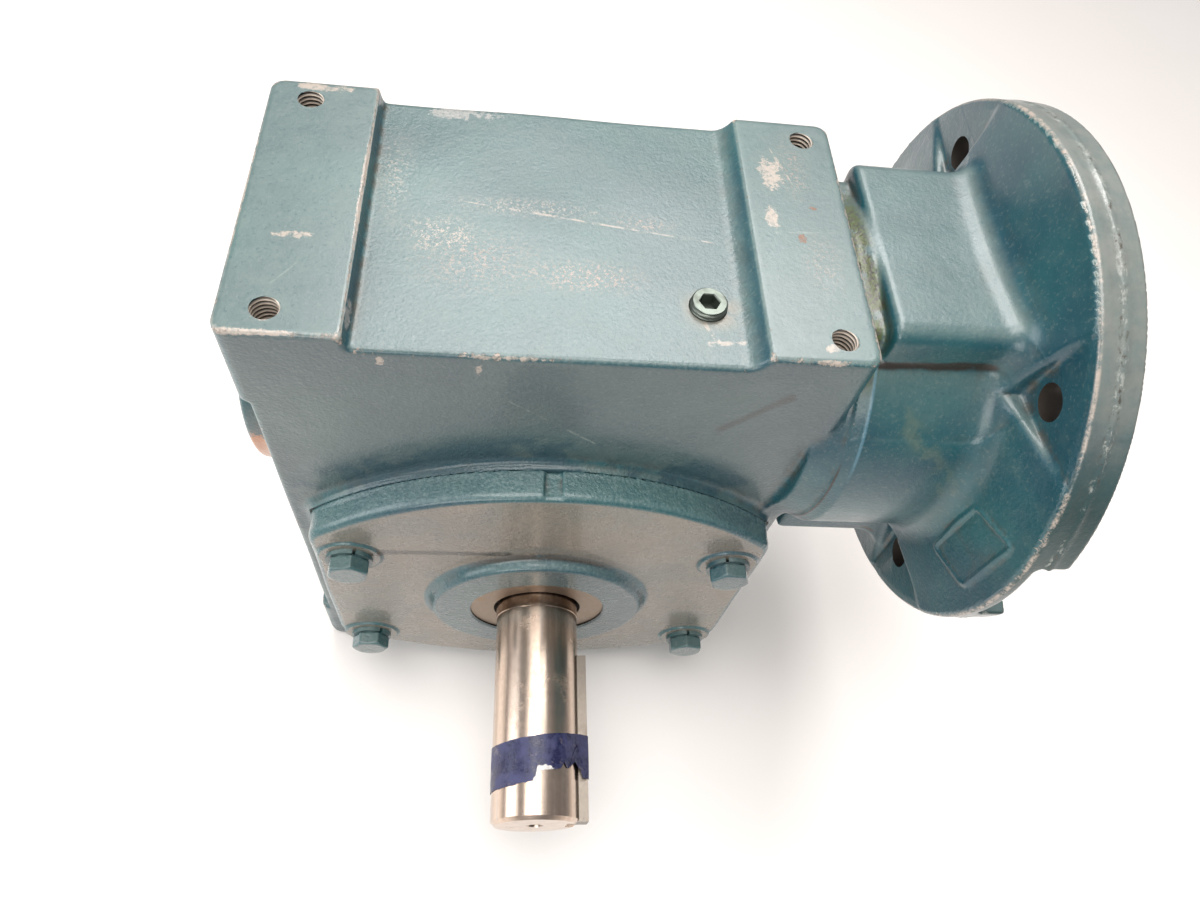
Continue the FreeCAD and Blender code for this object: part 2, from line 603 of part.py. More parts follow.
def roller_set():
    """Tapered rollers whose axes meet on the bearing axis, just clear of both tracks."""
    middle = math.radians((d.taper_cup_angle + d.taper_cone_angle) / 2)
    spread = math.radians((d.taper_cup_angle - d.taper_cone_angle) / 2)
    near, far = (d.taper_apex - 63.0) / math.cos(middle), (d.taper_apex - 49.2) / math.cos(middle)
    way = Vector(math.sin(middle), 0, -math.cos(middle))
    apex = Vector(0, 0, d.taper_apex)

    def roller(extra, longer):
        start, end = near - longer, far + longer
        return Part.makeCone(start * math.tan(spread) + extra, end * math.tan(spread) + extra,
                             end - start, apex + way * start, way)
    rollers = ring_of(roller(-0.06, 0.0), d.taper_rollers)
    windows = ring_of(roller(0.25, 0.3), d.taper_rollers)
    slope = math.tan(middle)
    r0, r1 = (d.taper_apex - 46.6) * slope, (d.taper_apex - 65.2) * slope
    shell = Part.makeCone(r0 + 0.6, r1 + 0.6, 18.6, Vector(0, 0, 46.6), Z)
    shell = shell.cut(Part.makeCone(r0 - 0.6, r1 - 0.6, 18.6, Vector(0, 0, 46.6), Z))
    return Part.makeCompound(rollers), shell.cut(windows)


for side, rotation in (("front", FRONT), ("rear", REAR)):
    turned(side + "_bearing_cup", [
        (cup_at("47.6"), "47.6"), ("cup_radius - 0.02", "47.6"), ("cup_radius - 0.02", "cup_seat"),
        (cup_at("cup_seat"), "cup_seat")], rotation)
    turned(side + "_bearing_cone", [
        ("journal", "cone_face"), ("31.5", "cone_face"), ("31.5", "47.3"), (cone_at("47.3"), "47.3"),
        (cone_at("cone_end"), "cone_end"), ("journal", "cone_end")], rotation)
    rollers, cage = roller_set()
    add_shape(side + "_bearing_rollers", rollers, rotation)
    add_shape(side + "_bearing_cage", cage, rotation)

# ---------------------------------------------------------------- output seal and tape

turned("output_seal_case", [
    ("seal_bore - 0.03", "seal_seat + 0.4"), ("seal_bore - 0.03", "boss_face - 1.5"),
    ("seal_land + seal_gap", "boss_face - 1.5"), ("seal_land + seal_gap", "boss_face - 2.5"),
    ("seal_bore - 1.2", "boss_face - 2.5"), ("seal_bore - 1.2", "seal_seat + 0.4")], FRONT)
turned("output_seal_lip", [
    ("seal_land + 0.05", "boss_face - 5.5"), ("seal_land + 2", "boss_face - 3.3"),
    ("web_hole", "boss_face - 2.5"), ("web_hole + 4", "boss_face - 2.5"),
    ("web_hole + 4", "boss_face - 4"), ("web_hole - 1", "boss_face - 5"),
    ("web_hole - 1.5", "boss_face - 9"), ("seal_land + 1.2", "boss_face - 9")], FRONT)


def tape_shape():
    """Strip of tape wrapped once round the shaft and over its key."""
    half = d.key_width / 2
    start, end = d.tape_start, d.tape_end
    gap = d.tape_thick

    def wrapped(grow):
        round_part = rod(d.shaft_radius + grow, end - start, Vector(0, 0, start), Z)
        top, side = d.key_top + grow, half + grow
        touch = math.atan2(side, top) + math.acos((d.shaft_radius + grow) / math.hypot(top, side))
        foot = (d.shaft_radius + grow) * math.cos(touch), (d.shaft_radius + grow) * math.sin(touch)
        tent = prism([Vector(x, y, start) for x, y in (
            (0, -foot[1]), (foot[0], -foot[1]), (top, -side), (top, side), (foot[0], foot[1]),
            (0, foot[1]))], Vector(0, 0, end - start))
        return round_part.fuse(tent)
    return wrapped(gap + 0.05).cut(wrapped(0.05))


add_shape("shaft_tape", tape_shape(), FRONT)


# ---------------------------------------------------------------- worm shaft group

def worm_thread():
    """Single-start right-hand thread, trapezoidal in axial section."""
    module, pitch = d.gear_module, math.pi * d.gear_module
    middle = d.worm_pitch_radius
    root, tip = middle - 1.25 * module, middle + module
    slope = math.tan(math.radians(20))
    thick = pitch / 4 - 0.5 * d.backlash
    spine = Part.makeHelix(pitch, d.worm_turns * pitch, root - 1.0)
    low, high = thick + (middle - root + 1.0) * slope, thick - (tip - middle) * slope
    profile = Part.makePolygon([Vector(root - 1.0, 0, -low), Vector(tip, 0, -high),
                                Vector(tip, 0, high), Vector(root - 1.0, 0, low),
                                Vector(root - 1.0, 0, -low)])
    sweep = Part.Wire(spine).makePipeShell([profile], True, True)
    # whole turns each way, so that a ridge stands in the wheel's gap over the output axis
    sweep.translate(Vector(0, 0, -d.worm_turns * pitch / 2))
    return sweep


def worm_shaft():
    """Solid worm with a hollow keyed quill for the motor shaft."""
    root = d.worm_pitch_radius - 1.25 * d.gear_module
    x0 = d.output_x
    thread_end = d.worm_half + 2
    sections = [(d.end_journal, -d.end_seat - d.end_wide - 1, -d.end_seat),
                (d.worm_body, -d.end_seat, x0 - thread_end), (root, x0 - thread_end, x0 + thread_end),
                (d.worm_body, x0 + thread_end, d.collar_start),
                (d.quill_collar, d.collar_start, d.quill_seat),
                (d.quill_journal, d.quill_seat, d.quill_end)]
    solids = [rod(r, z1 - z0, Vector(0, 0, z0), Z) for r, z0, z1 in sections]
    thread = worm_thread()
    thread.translate(Vector(0, 0, x0))
    body = solids[0].multiFuse(solids[1:]).fuse(thread)
    bore = rod(d.quill_bore, 90, Vector(0, 0, d.quill_bore_end), Z)
    keyway = block(0, d.quill_key_deep, -d.quill_key / 2, d.quill_key / 2, d.quill_bore_end, 200)
    at = Vector(0, 0, d.quill_ring - 0.2)
    groove = rod(30, 1.6, at, Z).cut(rod(21.6, 1.6, at, Z))
    return body.cut([bore, keyway, groove])


def ball_set(pitch_radius, ball, count, half_width):
    balls = ring_of(Part.makeSphere(ball, Vector(pitch_radius, 0, 0)), count)
    holes = ring_of(rod(ball + 0.3, 8.0, Vector(pitch_radius - 4.0, 0, 0), X), count)
    ring = rod(pitch_radius + 1.2, 2 * half_width, Vector(0, 0, -half_width), Z)
    ring = ring.cut(rod(pitch_radius - 1.2, 2 * half_width, Vector(0, 0, -half_width), Z))
    return Part.makeCompound(balls), ring.cut(holes)


def grooved_ring(inner, outer, width, pitch_radius, groove):
    ring = rod(outer, width, Vector(0, 0, -width / 2), Z)
    ring = ring.cut(rod(inner, width + 2, Vector(0, 0, -width / 2 - 1), Z))
    return ring.cut(Part.makeTorus(pitch_radius, groove))


def ball_bearing(name, bore, outer, width, ball, count, centre):
    pitch_radius = (bore + outer) / 2
    shoulder = 0.56 * ball
    track = ball + 0.15
    balls, cage = ball_set(pitch_radius, ball, count, ball + 1.4)
    for suffix, shape in (
            ("_outer", grooved_ring(pitch_radius + shoulder, outer - 0.02, width, pitch_radius, track)),
            ("_inner", grooved_ring(bore, pitch_radius - shoulder, width, pitch_radius, track)),
            ("_balls", balls), ("_cage", cage)):
        add_shape(name + suffix, shape, WORM, D(centre))


add_shape("worm_shaft", worm_shaft(), WORM)
ball_bearing("end_bearing", d.end_journal, d.end_outer, d.end_wide, d.end_ball, 9,
             "0 - end_seat - end_wide / 2")
ball_bearing("quill_bearing", d.quill_journal, d.quill_outer, d.quill_wide, d.quill_ball, 10,
             "quill_seat + quill_wide / 2")


def snap_ring(inner, outer, thick, at, gap_angle):
    """Retaining ring with an open mouth."""
    ring = rod(outer, thick, Vector(0, 0, at), Z).cut(rod(inner, thick, Vector(0, 0, at), Z))
    mouth = prism([Vector(0, 0, at - 1), Vector(60, -60 * math.tan(gap_angle), at - 1),
                   Vector(60, 60 * math.tan(gap_angle), at - 1)], Vector(0, 0, thick + 2))
    return ring.cut(mouth)


add_shape("end_snap_ring", snap_ring(32.0, d.end_outer + 1.9, 1.7, -d.end_ring, 0.25), WORM)
add_shape("quill_snap_ring", snap_ring(38.4, d.quill_outer + 2.1, 2.0, d.quill_ring, 0.22), WORM)
add_shape("shaft_snap_ring", snap_ring(21.65, 25.6, 1.4, d.quill_ring - 0.1, 0.25), WORM)
turned("input_seal_case", [
    ("quill_outer - 0.03", "138"), ("quill_outer - 0.03", "148"), ("27", "148"), ("27", "147"),
    ("quill_outer - 1.2", "147"), ("quill_outer - 1.2", "138")], WORM)
turned("input_seal_lip", [
    ("quill_journal + 0.05", "144.5"), ("quill_journal + 2", "146.2"), ("28", "147"), ("32", "147"),
    ("32", "145.5"), ("27", "144.5"), ("26.5", "140.5"), ("quill_journal + 1.2", "140.5")], WORM)
turned("worm_end_cap", [
    ("0", "-113.2"), ("33.5", "-113.2"), ("33.5", "-110.4"), ("end_outer - 0.03", "-110.4"),
    ("end_outer - 0.03", "-115.2"), ("0", "-115.2")], WORM)


# ---------------------------------------------------------------- oil plugs

def socket_plug(length):
    """Hexagon-socket pipe plug, socket up."""
    body = rod(d.plug_radius, length, Vector(0, 0, -length), Z)
    body = body.makeChamfer(0.7, [e for e in body.Edges if e.Curve.TypeId == "Part::GeomCircle"])
    return body.cut(prism(hexagon(d.plug_socket / math.sqrt(3), -6), Vector(0, 0, 8)))


fill = add_shape("fill_plug", socket_plug(14.0))
fill.Placement = Placement(Vector(d.plug_x, d.plug_y, d.case_top - d.pad_drop + d.plug_proud), Rotation())
drain = add_shape("drain_plug", socket_plug(10.0))
drain.Placement = Placement(Vector(d.plug_x, d.plug_y, d.pad_drop - 1.0), Rotation(Vector(1, 0, 0), 180))


# ---------------------------------------------------------------- checks and export

doc.recompute()
for item in doc.Objects:
    if "Invalid" in item.State or "Error" in item.State:
        raise RuntimeError(f"{item.Name} failed: {item.State}")
os.makedirs("parts", exist_ok=True)
for node in nodes:
    shape = node.Shape
    if shape.isNull() or not shape.isValid():
        raise RuntimeError(f"{node.Label} has no valid shape")
    shape.exportStep(f"parts/{node.Label}.step")
    box = shape.BoundBox
    print(f"{node.Label:24s} solids {len(shape.Solids):2d} volume {shape.Volume:12.1f} "
          f"x {box.XMin:7.1f} {box.XMax:7.1f} y {box.YMin:7.1f} {box.YMax:7.1f} "
          f"z {box.ZMin:7.1f} {box.ZMax:7.1f}")
print(len(nodes), "nodes written")
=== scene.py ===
import json
import math

import bpy
import numpy as np
from mathutils import Matrix, Vector


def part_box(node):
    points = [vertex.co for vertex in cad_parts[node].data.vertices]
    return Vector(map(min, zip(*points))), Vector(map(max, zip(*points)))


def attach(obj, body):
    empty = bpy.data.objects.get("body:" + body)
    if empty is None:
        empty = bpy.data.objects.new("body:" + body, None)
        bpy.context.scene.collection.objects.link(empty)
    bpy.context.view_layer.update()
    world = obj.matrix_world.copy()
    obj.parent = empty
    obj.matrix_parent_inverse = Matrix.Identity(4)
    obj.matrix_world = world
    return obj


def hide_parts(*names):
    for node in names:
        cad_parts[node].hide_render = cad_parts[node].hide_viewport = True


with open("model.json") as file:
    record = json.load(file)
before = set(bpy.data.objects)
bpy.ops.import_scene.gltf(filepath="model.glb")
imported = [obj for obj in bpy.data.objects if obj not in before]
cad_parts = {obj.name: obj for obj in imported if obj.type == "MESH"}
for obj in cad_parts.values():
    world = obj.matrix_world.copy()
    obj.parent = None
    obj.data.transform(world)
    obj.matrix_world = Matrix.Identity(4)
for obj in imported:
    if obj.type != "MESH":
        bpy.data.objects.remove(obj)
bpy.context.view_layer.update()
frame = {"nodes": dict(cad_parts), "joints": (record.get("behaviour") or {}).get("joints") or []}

# Looks of a right-angle worm reducer: green painted castings and bolts, a bright steel output shaft
# with a wrap of blue tape.  Lengths are millimetres in the row frame, and meshes are scaled to
# metres as they are made.  A field is a signed distance in millimetres, negative inside.

MM = 0.001
rng = np.random.default_rng(7)


# ---- sizes from the frame ----

def node_box(name):
    lo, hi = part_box(name)
    return np.array(lo) / MM, np.array(hi) / MM


def joint_place(name):
    joint = next(j for j in frame["joints"] if j["name"] == name)
    return np.array(joint["pos_m"]) / MM


OUT_X, _, OUT_Z = joint_place("output_spin")
WORM_Z = joint_place("worm_spin")[2]
CASE_LO, CASE_HI = node_box("housing")
COVER_LO, COVER_HI = node_box("output_cover")
REAR_BOSS_FACE = node_box("rear_cover")[1][1]
PLUG_LO, PLUG_HI = node_box("fill_plug")
DRAIN_LO, DRAIN_HI = node_box("drain_plug")

# gear case
LEFT, RIGHT = -107.4, 107.6
STRIP_LEFT, STRIP_RIGHT = -111.9, 109.1
HALF = 61.6
TOP = 279.4
STRIP_DEPTH, STRIP_TALL = 6.0, 41.0
LEDGE = -node_box("cover_gasket_front")[1][1]
FOOT_X, FOOT_Y = 95.9, 50.8
# neck and flange
ROOT_X, ROOT_R, ROOT_WIDE, CRACK_X = 100.0, 66.4, 70.8, 111.8
NECK_X, NECK_R = 117.5, 73.5
HUMP_HALF, HUMP_TOP, HUMP_LOW = 46.0, 74.5, 75.9
GROOVE_DEEP = 7.0
FLANGE_FACE = CASE_HI[0]
FLANGE_BACK = FLANGE_FACE - 18.7
FLANGE_R = CASE_HI[1]
REGISTER_R, REGISTER_DEEP = 107.95, 6.35
SCREW_CIRCLE_R, SCREW_R = 92.075, 7.14
NOTCH_HALF, NOTCH_WEB = 22.0, 6.0
BOSS_X, BOSS_R = CASE_LO[0], 54.0
# covers, about the output axis
COVER_HALF = (COVER_HI[0] - COVER_LO[0]) / 2
ARC_TOP, ARC_TOP_R = 105.1, 139.8
ARC_LOW, ARC_LOW_R = 84.0, 155.2
PLATE_BACK, PLATE_FACE = 65.2, 78.3
COVER_BOSS_R, COVER_BOSS_FACE = 49.8, -COVER_LO[1]
BOLT_X, BOLT_Z = 82.8, 48.15
LAND_R, LAND_HIGH = 13.0, 1.0
BOLT_SEAT = PLATE_FACE + LAND_HIGH + 2.0      # on top of the lock washer
HEAD_FLATS, HEAD_TALL = 15.9, 6.6
SHAFT_R = 19.05
COVER_BOLTS = [(sx * BOLT_X, sz * BOLT_Z) for sx in (-1, 1) for sz in (-1, 1)]


# ---- fields ----

def smooth_min(a, b, k):
    h = np.maximum(k - np.abs(a - b), 0.0)
    return np.minimum(a, b) - h * h * (0.25 / k)


def smooth_max(a, b, k):
    return -smooth_min(-a, -b, k)


def box_field(p, lo, hi, radius=0.0):
    """Rounded box in as many axes as p has."""
    q = [np.abs(v - (a + b) / 2) - (b - a) / 2 + radius for v, a, b in zip(p, lo, hi)]
    outside = np.sqrt(sum(np.maximum(v, 0.0) ** 2 for v in q))
    inside = q[0]
    for v in q[1:]:
        inside = np.maximum(inside, v)
    return outside + np.minimum(inside, 0.0) - radius


def rod_field(distance, along, radius, start, end, rounding):
    """Solid of revolution's plain case: a rod with rounded ends."""
    return box_field((distance, along), (-radius, start), (radius, end), rounding)


def ripple(x, y, z, size):
    """Slow unevenness of a sand-cast skin, about -1 to 1."""
    a = np.sin(x / size + 1.3 * np.sin(y / (1.7 * size))) * np.sin(z / (1.2 * size) + 0.7)
    b = np.sin(y / (0.9 * size) + 1.1 * np.sin(z / (1.4 * size))) * np.sin(x / (1.5 * size) + 2.1)
    return 0.5 * (a + b)


def cover_outline(u, v):
    """Outline of cover and ledge in the plane across the output axis."""
    sides = np.abs(u) - COVER_HALF
    upper = np.hypot(u, v - (ARC_TOP - ARC_TOP_R)) - ARC_TOP_R
    lower = np.hypot(u, v - (ARC_LOW_R - ARC_LOW)) - ARC_LOW_R
    return smooth_max(smooth_max(sides, upper, 4.0), lower, 4.0)


def strip_field(x, z, side, level):
    """Machined foot strip: level is +1 for the upper one, -1 for the lower one."""
    height = z if level < 0 else TOP - z
    outer = STRIP_RIGHT - x if side > 0 else x - STRIP_LEFT
    inner, slope = (69.3, 0.85) if side > 0 else (-71.2, 0.30)
    edge = (inner - x - slope * height) if side > 0 else (x - inner - slope * height)
    edge = edge / math.hypot(1.0, slope)
    tall = smooth_max(-height, height - STRIP_TALL, 1.0)
    wide = smooth_max(-outer, edge, 1.0)
    return smooth_max(tall, wide, 1.0)


def case_field(x, y, z):
    body = box_field((x, z), (LEFT, STRIP_DEPTH), (RIGHT, TOP - STRIP_DEPTH), 4.0)
    for side in (-1, 1):
        for level in (-1, 1):
            body = smooth_min(body, strip_field(x, z, side, level), 3.0 if side > 0 else 1.6)
    corners = box_field((x, z), (STRIP_LEFT, 0.0), (STRIP_RIGHT, TOP), 1.0)
    lower = box_field((x, z), (STRIP_LEFT, 0.0), (STRIP_RIGHT, TOP + 50.0), 9.0)
    body = np.maximum(np.maximum(body, corners), lower)
    plan = box_field((x, y), (STRIP_LEFT, -HALF), (STRIP_RIGHT, HALF), 6.0)
    return smooth_max(body, plan, 2.6)


def neck_field(x, y, z, r):
    taper = np.clip((x - ROOT_X) / (CRACK_X - ROOT_X), 0, 1)
    root = smooth_max(r - ROOT_R - (ROOT_WIDE - ROOT_R) * taper, ROOT_X - x, 1.0)
    root = np.maximum(root, x - NECK_X - 4.0)
    swell = np.clip((x - CRACK_X) / 4.2, 0, 1)
    neck = smooth_max(r - ROOT_WIDE - 0.3 - (NECK_R - ROOT_WIDE - 0.3) * swell, CRACK_X - x, 0.6)
    neck = np.maximum(neck, x - FLANGE_BACK - 6.0)
    upper = box_field((y, z), (-HUMP_HALF, WORM_Z), (HUMP_HALF, WORM_Z + HUMP_TOP), 7.5)
    lower = box_field((y, z), (-HUMP_HALF - 2.5, WORM_Z - HUMP_LOW), (HUMP_HALF + 2.5, WORM_Z), 2.0)
    hump = np.minimum(upper, lower)
    groove = box_field((y, z), (-HUMP_HALF + 4.0, WORM_Z - HUMP_TOP + GROOVE_DEEP),
                       (HUMP_HALF - 4.0, WORM_Z + HUMP_TOP - GROOVE_DEEP), 5.5)
    groove = np.maximum(np.maximum(groove, x - NECK_X - 8.0), 95.0 - x)
    hump = smooth_max(hump, NECK_X - x, 3.5)
    hump = np.maximum(hump, x - FLANGE_BACK - 6.0)
    return smooth_min(root, groove, 3.0), smooth_min(neck, hump, 2.2)


def lobe_field(x, y, z, r):
    """Low cone behind the flange, cut into four lobes that widen outwards."""
    rise, inner, outer = 8.0, 75.0, 112.0
    slope = rise / (outer - inner)
    cone = (FLANGE_BACK - slope * (outer - r) - x) / math.hypot(1.0, slope)
    a, b = np.abs(y), np.abs(z - WORM_Z)
    wide = np.minimum(a - (40.0 + 0.125 * b), b - (40.0 + 0.125 * a))
    lobe = smooth_max(cone, wide * 0.98 - 6.0, 3.0)
    lobe = smooth_max(lobe, r - (FLANGE_R - 1.2), 2.0)
    return np.maximum(lobe, x - FLANGE_BACK - 3.0)


def flange_field(x, y, z, r):
    disc = rod_field(r, x, FLANGE_R, FLANGE_BACK, FLANGE_FACE, 1.8)
    notch = box_field((x, y, z), (FLANGE_BACK + NOTCH_WEB, -FLANGE_R - 20.0, WORM_Z - NOTCH_HALF),
                      (FLANGE_FACE + 20.0, -REGISTER_R + 4.0, WORM_Z + NOTCH_HALF), 2.0)
    disc = smooth_min(disc, lobe_field(x, y, z, r), 2.5)
    return smooth_max(disc, -notch, 1.5)


def housing_field(x, y, z):
    r = np.hypot(y, z - WORM_Z)
    root, neck = neck_field(x, y, z, r)
    case = case_field(x, y, z)
    # ledges that the covers sit on, and the end boss
    ledge = cover_outline(x - OUT_X, z - OUT_Z)
    ledge = smooth_max(ledge, np.abs(y) - LEDGE - 0.35, 0.4)
    ledge = np.maximum(ledge, STRIP_DEPTH - z)
    boss = rod_field(r, x, BOSS_R, BOSS_X, -90.0, 2.5)
    case = smooth_min(case, ledge, 6.0)
    case = smooth_min(case, boss, 5.0)
    soft = 1.6 + 4.4 * np.clip(1.4 - np.abs(z - OUT_Z - 60.0) / 50.0, 0, 1)
    shape = smooth_min(case, root, np.where(np.abs(y) > 50.0, soft, 4.0))
    skin = smooth_min(neck, flange_field(x, y, z, r), 10.0)
    shape = smooth_min(shape, skin, 2.0)
    # cast skin is uneven, machined faces are not
    machined = np.clip((TOP - 0.6 - z) / 2.0, 0, 1) * np.clip((z - 0.6) / 2.0, 0, 1)
    machined = machined * np.clip((LEDGE - 0.6 - np.abs(y)) / 1.0 + (x > NECK_X), 0, 1)
    machined = machined * np.clip((FLANGE_FACE - 1.0 - x) / 2.0, 0, 1)
    shape = shape + 0.22 * machined * (1.0 + ripple(x, y, z, 11.0))
    # parting flash round the rim
    turn = np.arctan2(z - WORM_Z, y)
    flash = np.exp(-((x - FLANGE_BACK - 9.5 - 0.5 * np.sin(7 * turn)) / 1.1) ** 2)
    flash = flash * np.clip((r - FLANGE_R + 5.0) / 4.0, 0, 1) * (0.75 + 0.25 * np.sin(23 * turn + 2))
    shape = shape + 0.55 * np.clip((r - FLANGE_R + 5.0) / 4.0, 0, 1) * (x > FLANGE_BACK) - 0.5 * flash
    # blank raised frame on the front lobe
    u, v = (z - WORM_Z) - 0.35 * (-y - 92.0), -y - 92.0
    frame_line = np.abs(box_field((u, v), (-19.0, -10.5), (19.0, 10.5), 3.0)) - 0.9
    raised = np.clip(0.5 - frame_line / 1.6, 0, 1) * ((x < FLANGE_BACK + 2) & (y < -70))
    return shape - 0.8 * raised


def cover_field(x, y, z, boss_face):
    """Outer plate of a cover; y is measured outwards from the middle of the case."""
    u, v = x - OUT_X, z - OUT_Z
    r = np.hypot(u, v)
    plate = smooth_max(cover_outline(u, v), y - PLATE_FACE, 4.0)
    plate = np.maximum(plate, PLATE_BACK - y)
    boss = rod_field(r, y, COVER_BOSS_R, PLATE_BACK, boss_face, 2.2)
    shape = smooth_min(plate, boss, 6.0)
    land = np.min([np.hypot(u - bu, v - bv) for bu, bv in COVER_BOLTS], axis=0)
    land = rod_field(land, y, LAND_R, PLATE_BACK, PLATE_FACE + LAND_HIGH, 0.4)
    shape = smooth_min(shape, land, 2.0)
    notch = box_field((u, v), (-3.2, ARC_TOP - 1.3), (3.2, ARC_TOP + 9.0), 0.8)
    shape = smooth_max(shape, -notch, 1.0)
    cast = np.clip((y - PLATE_BACK - 0.5) / 2.0, 0, 1) * np.clip((boss_face - 0.3 - y) / 1.5, 0, 1)
    flat = np.clip((PLATE_FACE + 0.4 - y) / 0.8, 0, 1)
    return shape + 0.22 * cast * flat * (1.0 + ripple(x, 3.0 * y, z, 9.0))


def hex_head_field(x, y, z):
    """Bolt head with a chamfered top and a washer face under it; z runs out of the head."""
    sides = np.full_like(x, -1e3)
    for i in range(3):
        turn = math.radians(60 * i + 30)
        sides = smooth_max(sides, np.abs(x * math.cos(turn) + y * math.sin(turn)) - HEAD_FLATS / 2, 0.5)
    r = np.hypot(x, y)
    chamfer = (z - HEAD_TALL + 0.5 * (r - HEAD_FLATS * 0.47)) / math.hypot(1.0, 0.5)
    head = smooth_max(smooth_max(sides, chamfer, 0.5), z - HEAD_TALL, 0.4)
    washer_face = rod_field(r, z, HEAD_FLATS * 0.49, -0.2, 0.9, 0.2)
    return smooth_min(np.maximum(head, 0.5 - z), washer_face, 0.3)


# ---- meshes from fields ----

BLOCK = 8


def sample(field, lo, counts, pitch):
    """Field on a grid, worked out only in blocks near the surface."""
    blocks = tuple(-(-n // BLOCK) for n in counts)
    span = BLOCK * pitch
    centre = [lo[i] + span * (np.arange(blocks[i]) + 0.5) - pitch / 2 for i in range(3)]
    coarse = field(*(g.ravel() for g in np.meshgrid(*centre, indexing="ij"))).reshape(blocks)
    near = np.argwhere(np.abs(coarse) < span * 0.95 + 3.0)
    far = np.where(coarse < 0, -1e3, 1e3).astype(np.float32)
    values = np.broadcast_to(far[:, None, :, None, :, None],
                             (blocks[0], BLOCK, blocks[1], BLOCK, blocks[2], BLOCK)).copy()
    inner = np.meshgrid(*[np.arange(BLOCK) * pitch] * 3, indexing="ij")
    for start in range(0, len(near), 1500):
        ids = near[start:start + 1500]
        x, y, z = (lo[i] + span * ids[:, i, None, None, None] + inner[i] for i in range(3))
        got = field(x.ravel(), y.ravel(), z.ravel()).reshape(x.shape)
        values[ids[:, 0], :, ids[:, 1], :, ids[:, 2], :] = got
    return values.reshape([b * BLOCK for b in blocks])


def slope_of(field, p, step=0.15):
    g = np.empty_like(p)
    for i in range(3):
        ahead, behind = p.copy(), p.copy()
        ahead[:, i] += step
        behind[:, i] -= step
        g[:, i] = (field(*ahead.T) - field(*behind.T)) / (2 * step)
    return g


def surface_net(field, lo, hi, pitch):
    """Quads over the zero surface of a field, with the points pulled onto it."""
    lo = np.array(lo, float) - 2 * pitch
    counts = [int(math.ceil((b - a) / pitch)) + 3 for a, b in zip(lo, hi)]
    values = sample(field, lo, counts, pitch)
    inside = values < 0
    cells = np.zeros([n - 1 for n in values.shape], np.int8)
    for corner in np.ndindex(2, 2, 2):
        cells += inside[tuple(slice(c, n - 1 + c) for c, n in zip(corner, values.shape))]
    cell = np.argwhere((cells > 0) & (cells < 8))
    index = np.full(cells.shape, -1, np.int32)
    index[tuple(cell.T)] = np.arange(len(cell))
    total, crossings = np.zeros((len(cell), 3)), np.zeros(len(cell))
    for axis in range(3):
        along = np.eye(3, dtype=int)[axis]
        for start in np.ndindex(*(2 - along)):
            v0, v1 = (values[tuple((cell + start + step).T)] for step in (0, along))
            hit = (v0 < 0) != (v1 < 0)
            t = np.where(hit, v0 / np.where(hit, v0 - v1, 1.0), 0.0)
            total += (start + np.outer(t, along)) * hit[:, None]
            crossings += hit
    points = lo + pitch * (cell + total / crossings[:, None])
    faces = []
    for axis in range(3):
        u, v = (axis + 1) % 3, (axis + 2) % 3
        edge = np.argwhere(np.diff(inside, axis=axis))
        edge = edge[(edge[:, u] > 0) & (edge[:, v] > 0)]
        outward = inside[tuple(edge.T)]
        around = []
        for du, dv in ((1, 1), (0, 1), (0, 0), (1, 0)):
            back = np.zeros(3, int)
            back[u], back[v] = du, dv
            around.append(index[tuple((edge - back).T)])
        quad = np.stack(around, 1)
        quad[~outward] = quad[~outward][:, ::-1]
        faces.append(quad)
    for _ in range(2):            # settle the points onto the surface
        g = slope_of(field, points)
        size = np.maximum((g * g).sum(1), 0.05)
        move = field(*points.T) / size
        points -= np.clip(move, -pitch, pitch)[:, None] * g
    return points, np.concatenate(faces)


def make_object(name, points, faces):
    """Mesh object from millimetre points; faces is an array or a list of index lists."""
    mesh = bpy.data.meshes.new(name)
    flat = [int(i) for face in faces for i in face] if isinstance(faces, list) else faces.ravel()
    sizes = [len(face) for face in faces] if isinstance(faces, list) else [faces.shape[1]] * len(faces)
    mesh.vertices.add(len(points))
    mesh.vertices.foreach_set("co", (np.asarray(points, np.float32) * MM).ravel())
    mesh.loops.add(len(flat))
    mesh.loops.foreach_set("vertex_index", np.asarray(flat, np.int32))
    mesh.polygons.add(len(sizes))
    mesh.polygons.foreach_set("loop_start", np.concatenate([[0], np.cumsum(sizes)[:-1]]).astype(np.int32))
    mesh.update(calc_edges=True)
    obj = bpy.data.objects.new(name, mesh)
    bpy.context.scene.collection.objects.link(obj)
    return obj


def stacked(rings):
    """Closed skin over a stack of rings of points, with a flat cap at each end."""
    rows, count = rings.shape[:2]
    row, i = np.arange(rows - 1)[:, None] * count, np.arange(count)
    j = (i + 1) % count
    quads = np.stack([row + i, row + j, row + count + j, row + count + i], -1).reshape(-1, 4)
    last = (rows - 1) * count
    caps = [list(range(count))[::-1], list(range(last, last + count))]
    return rings.reshape(-1, 3), quads.tolist() + caps


def round_turn(count):
    return np.linspace(0, 2 * math.pi, count, endpoint=False)


def lathe(profile, segments=96):
    """Closed turned solid about Z from (radius, height) pairs."""
    turn = round_turn(segments)
    return stacked(np.array([np.stack([r * np.cos(turn), r * np.sin(turn), turn * 0 + height], 1)
                             for r, height in profile]))


def threaded(radius, depth, pitch, start, end, segments=48, taper=0.0):
    """Rod about Z whose skin is a screw thread of the given depth and pitch."""
    heights = np.linspace(start, end, int((end - start) / pitch * 8) + 1)[:, None]
    turn = round_turn(segments)
    phase = (heights / pitch - turn / (2 * math.pi)) % 1.0
    ridge = np.clip(1.6 * np.abs(2 * phase - 1) - 0.3, 0, 1)
    run_out = np.clip((end - heights) / taper, 0, 1) if taper else 1.0
    r = radius - depth * (1 - ridge * run_out)
    return stacked(np.stack([r * np.cos(turn), r * np.sin(turn), heights + 0 * turn], -1))


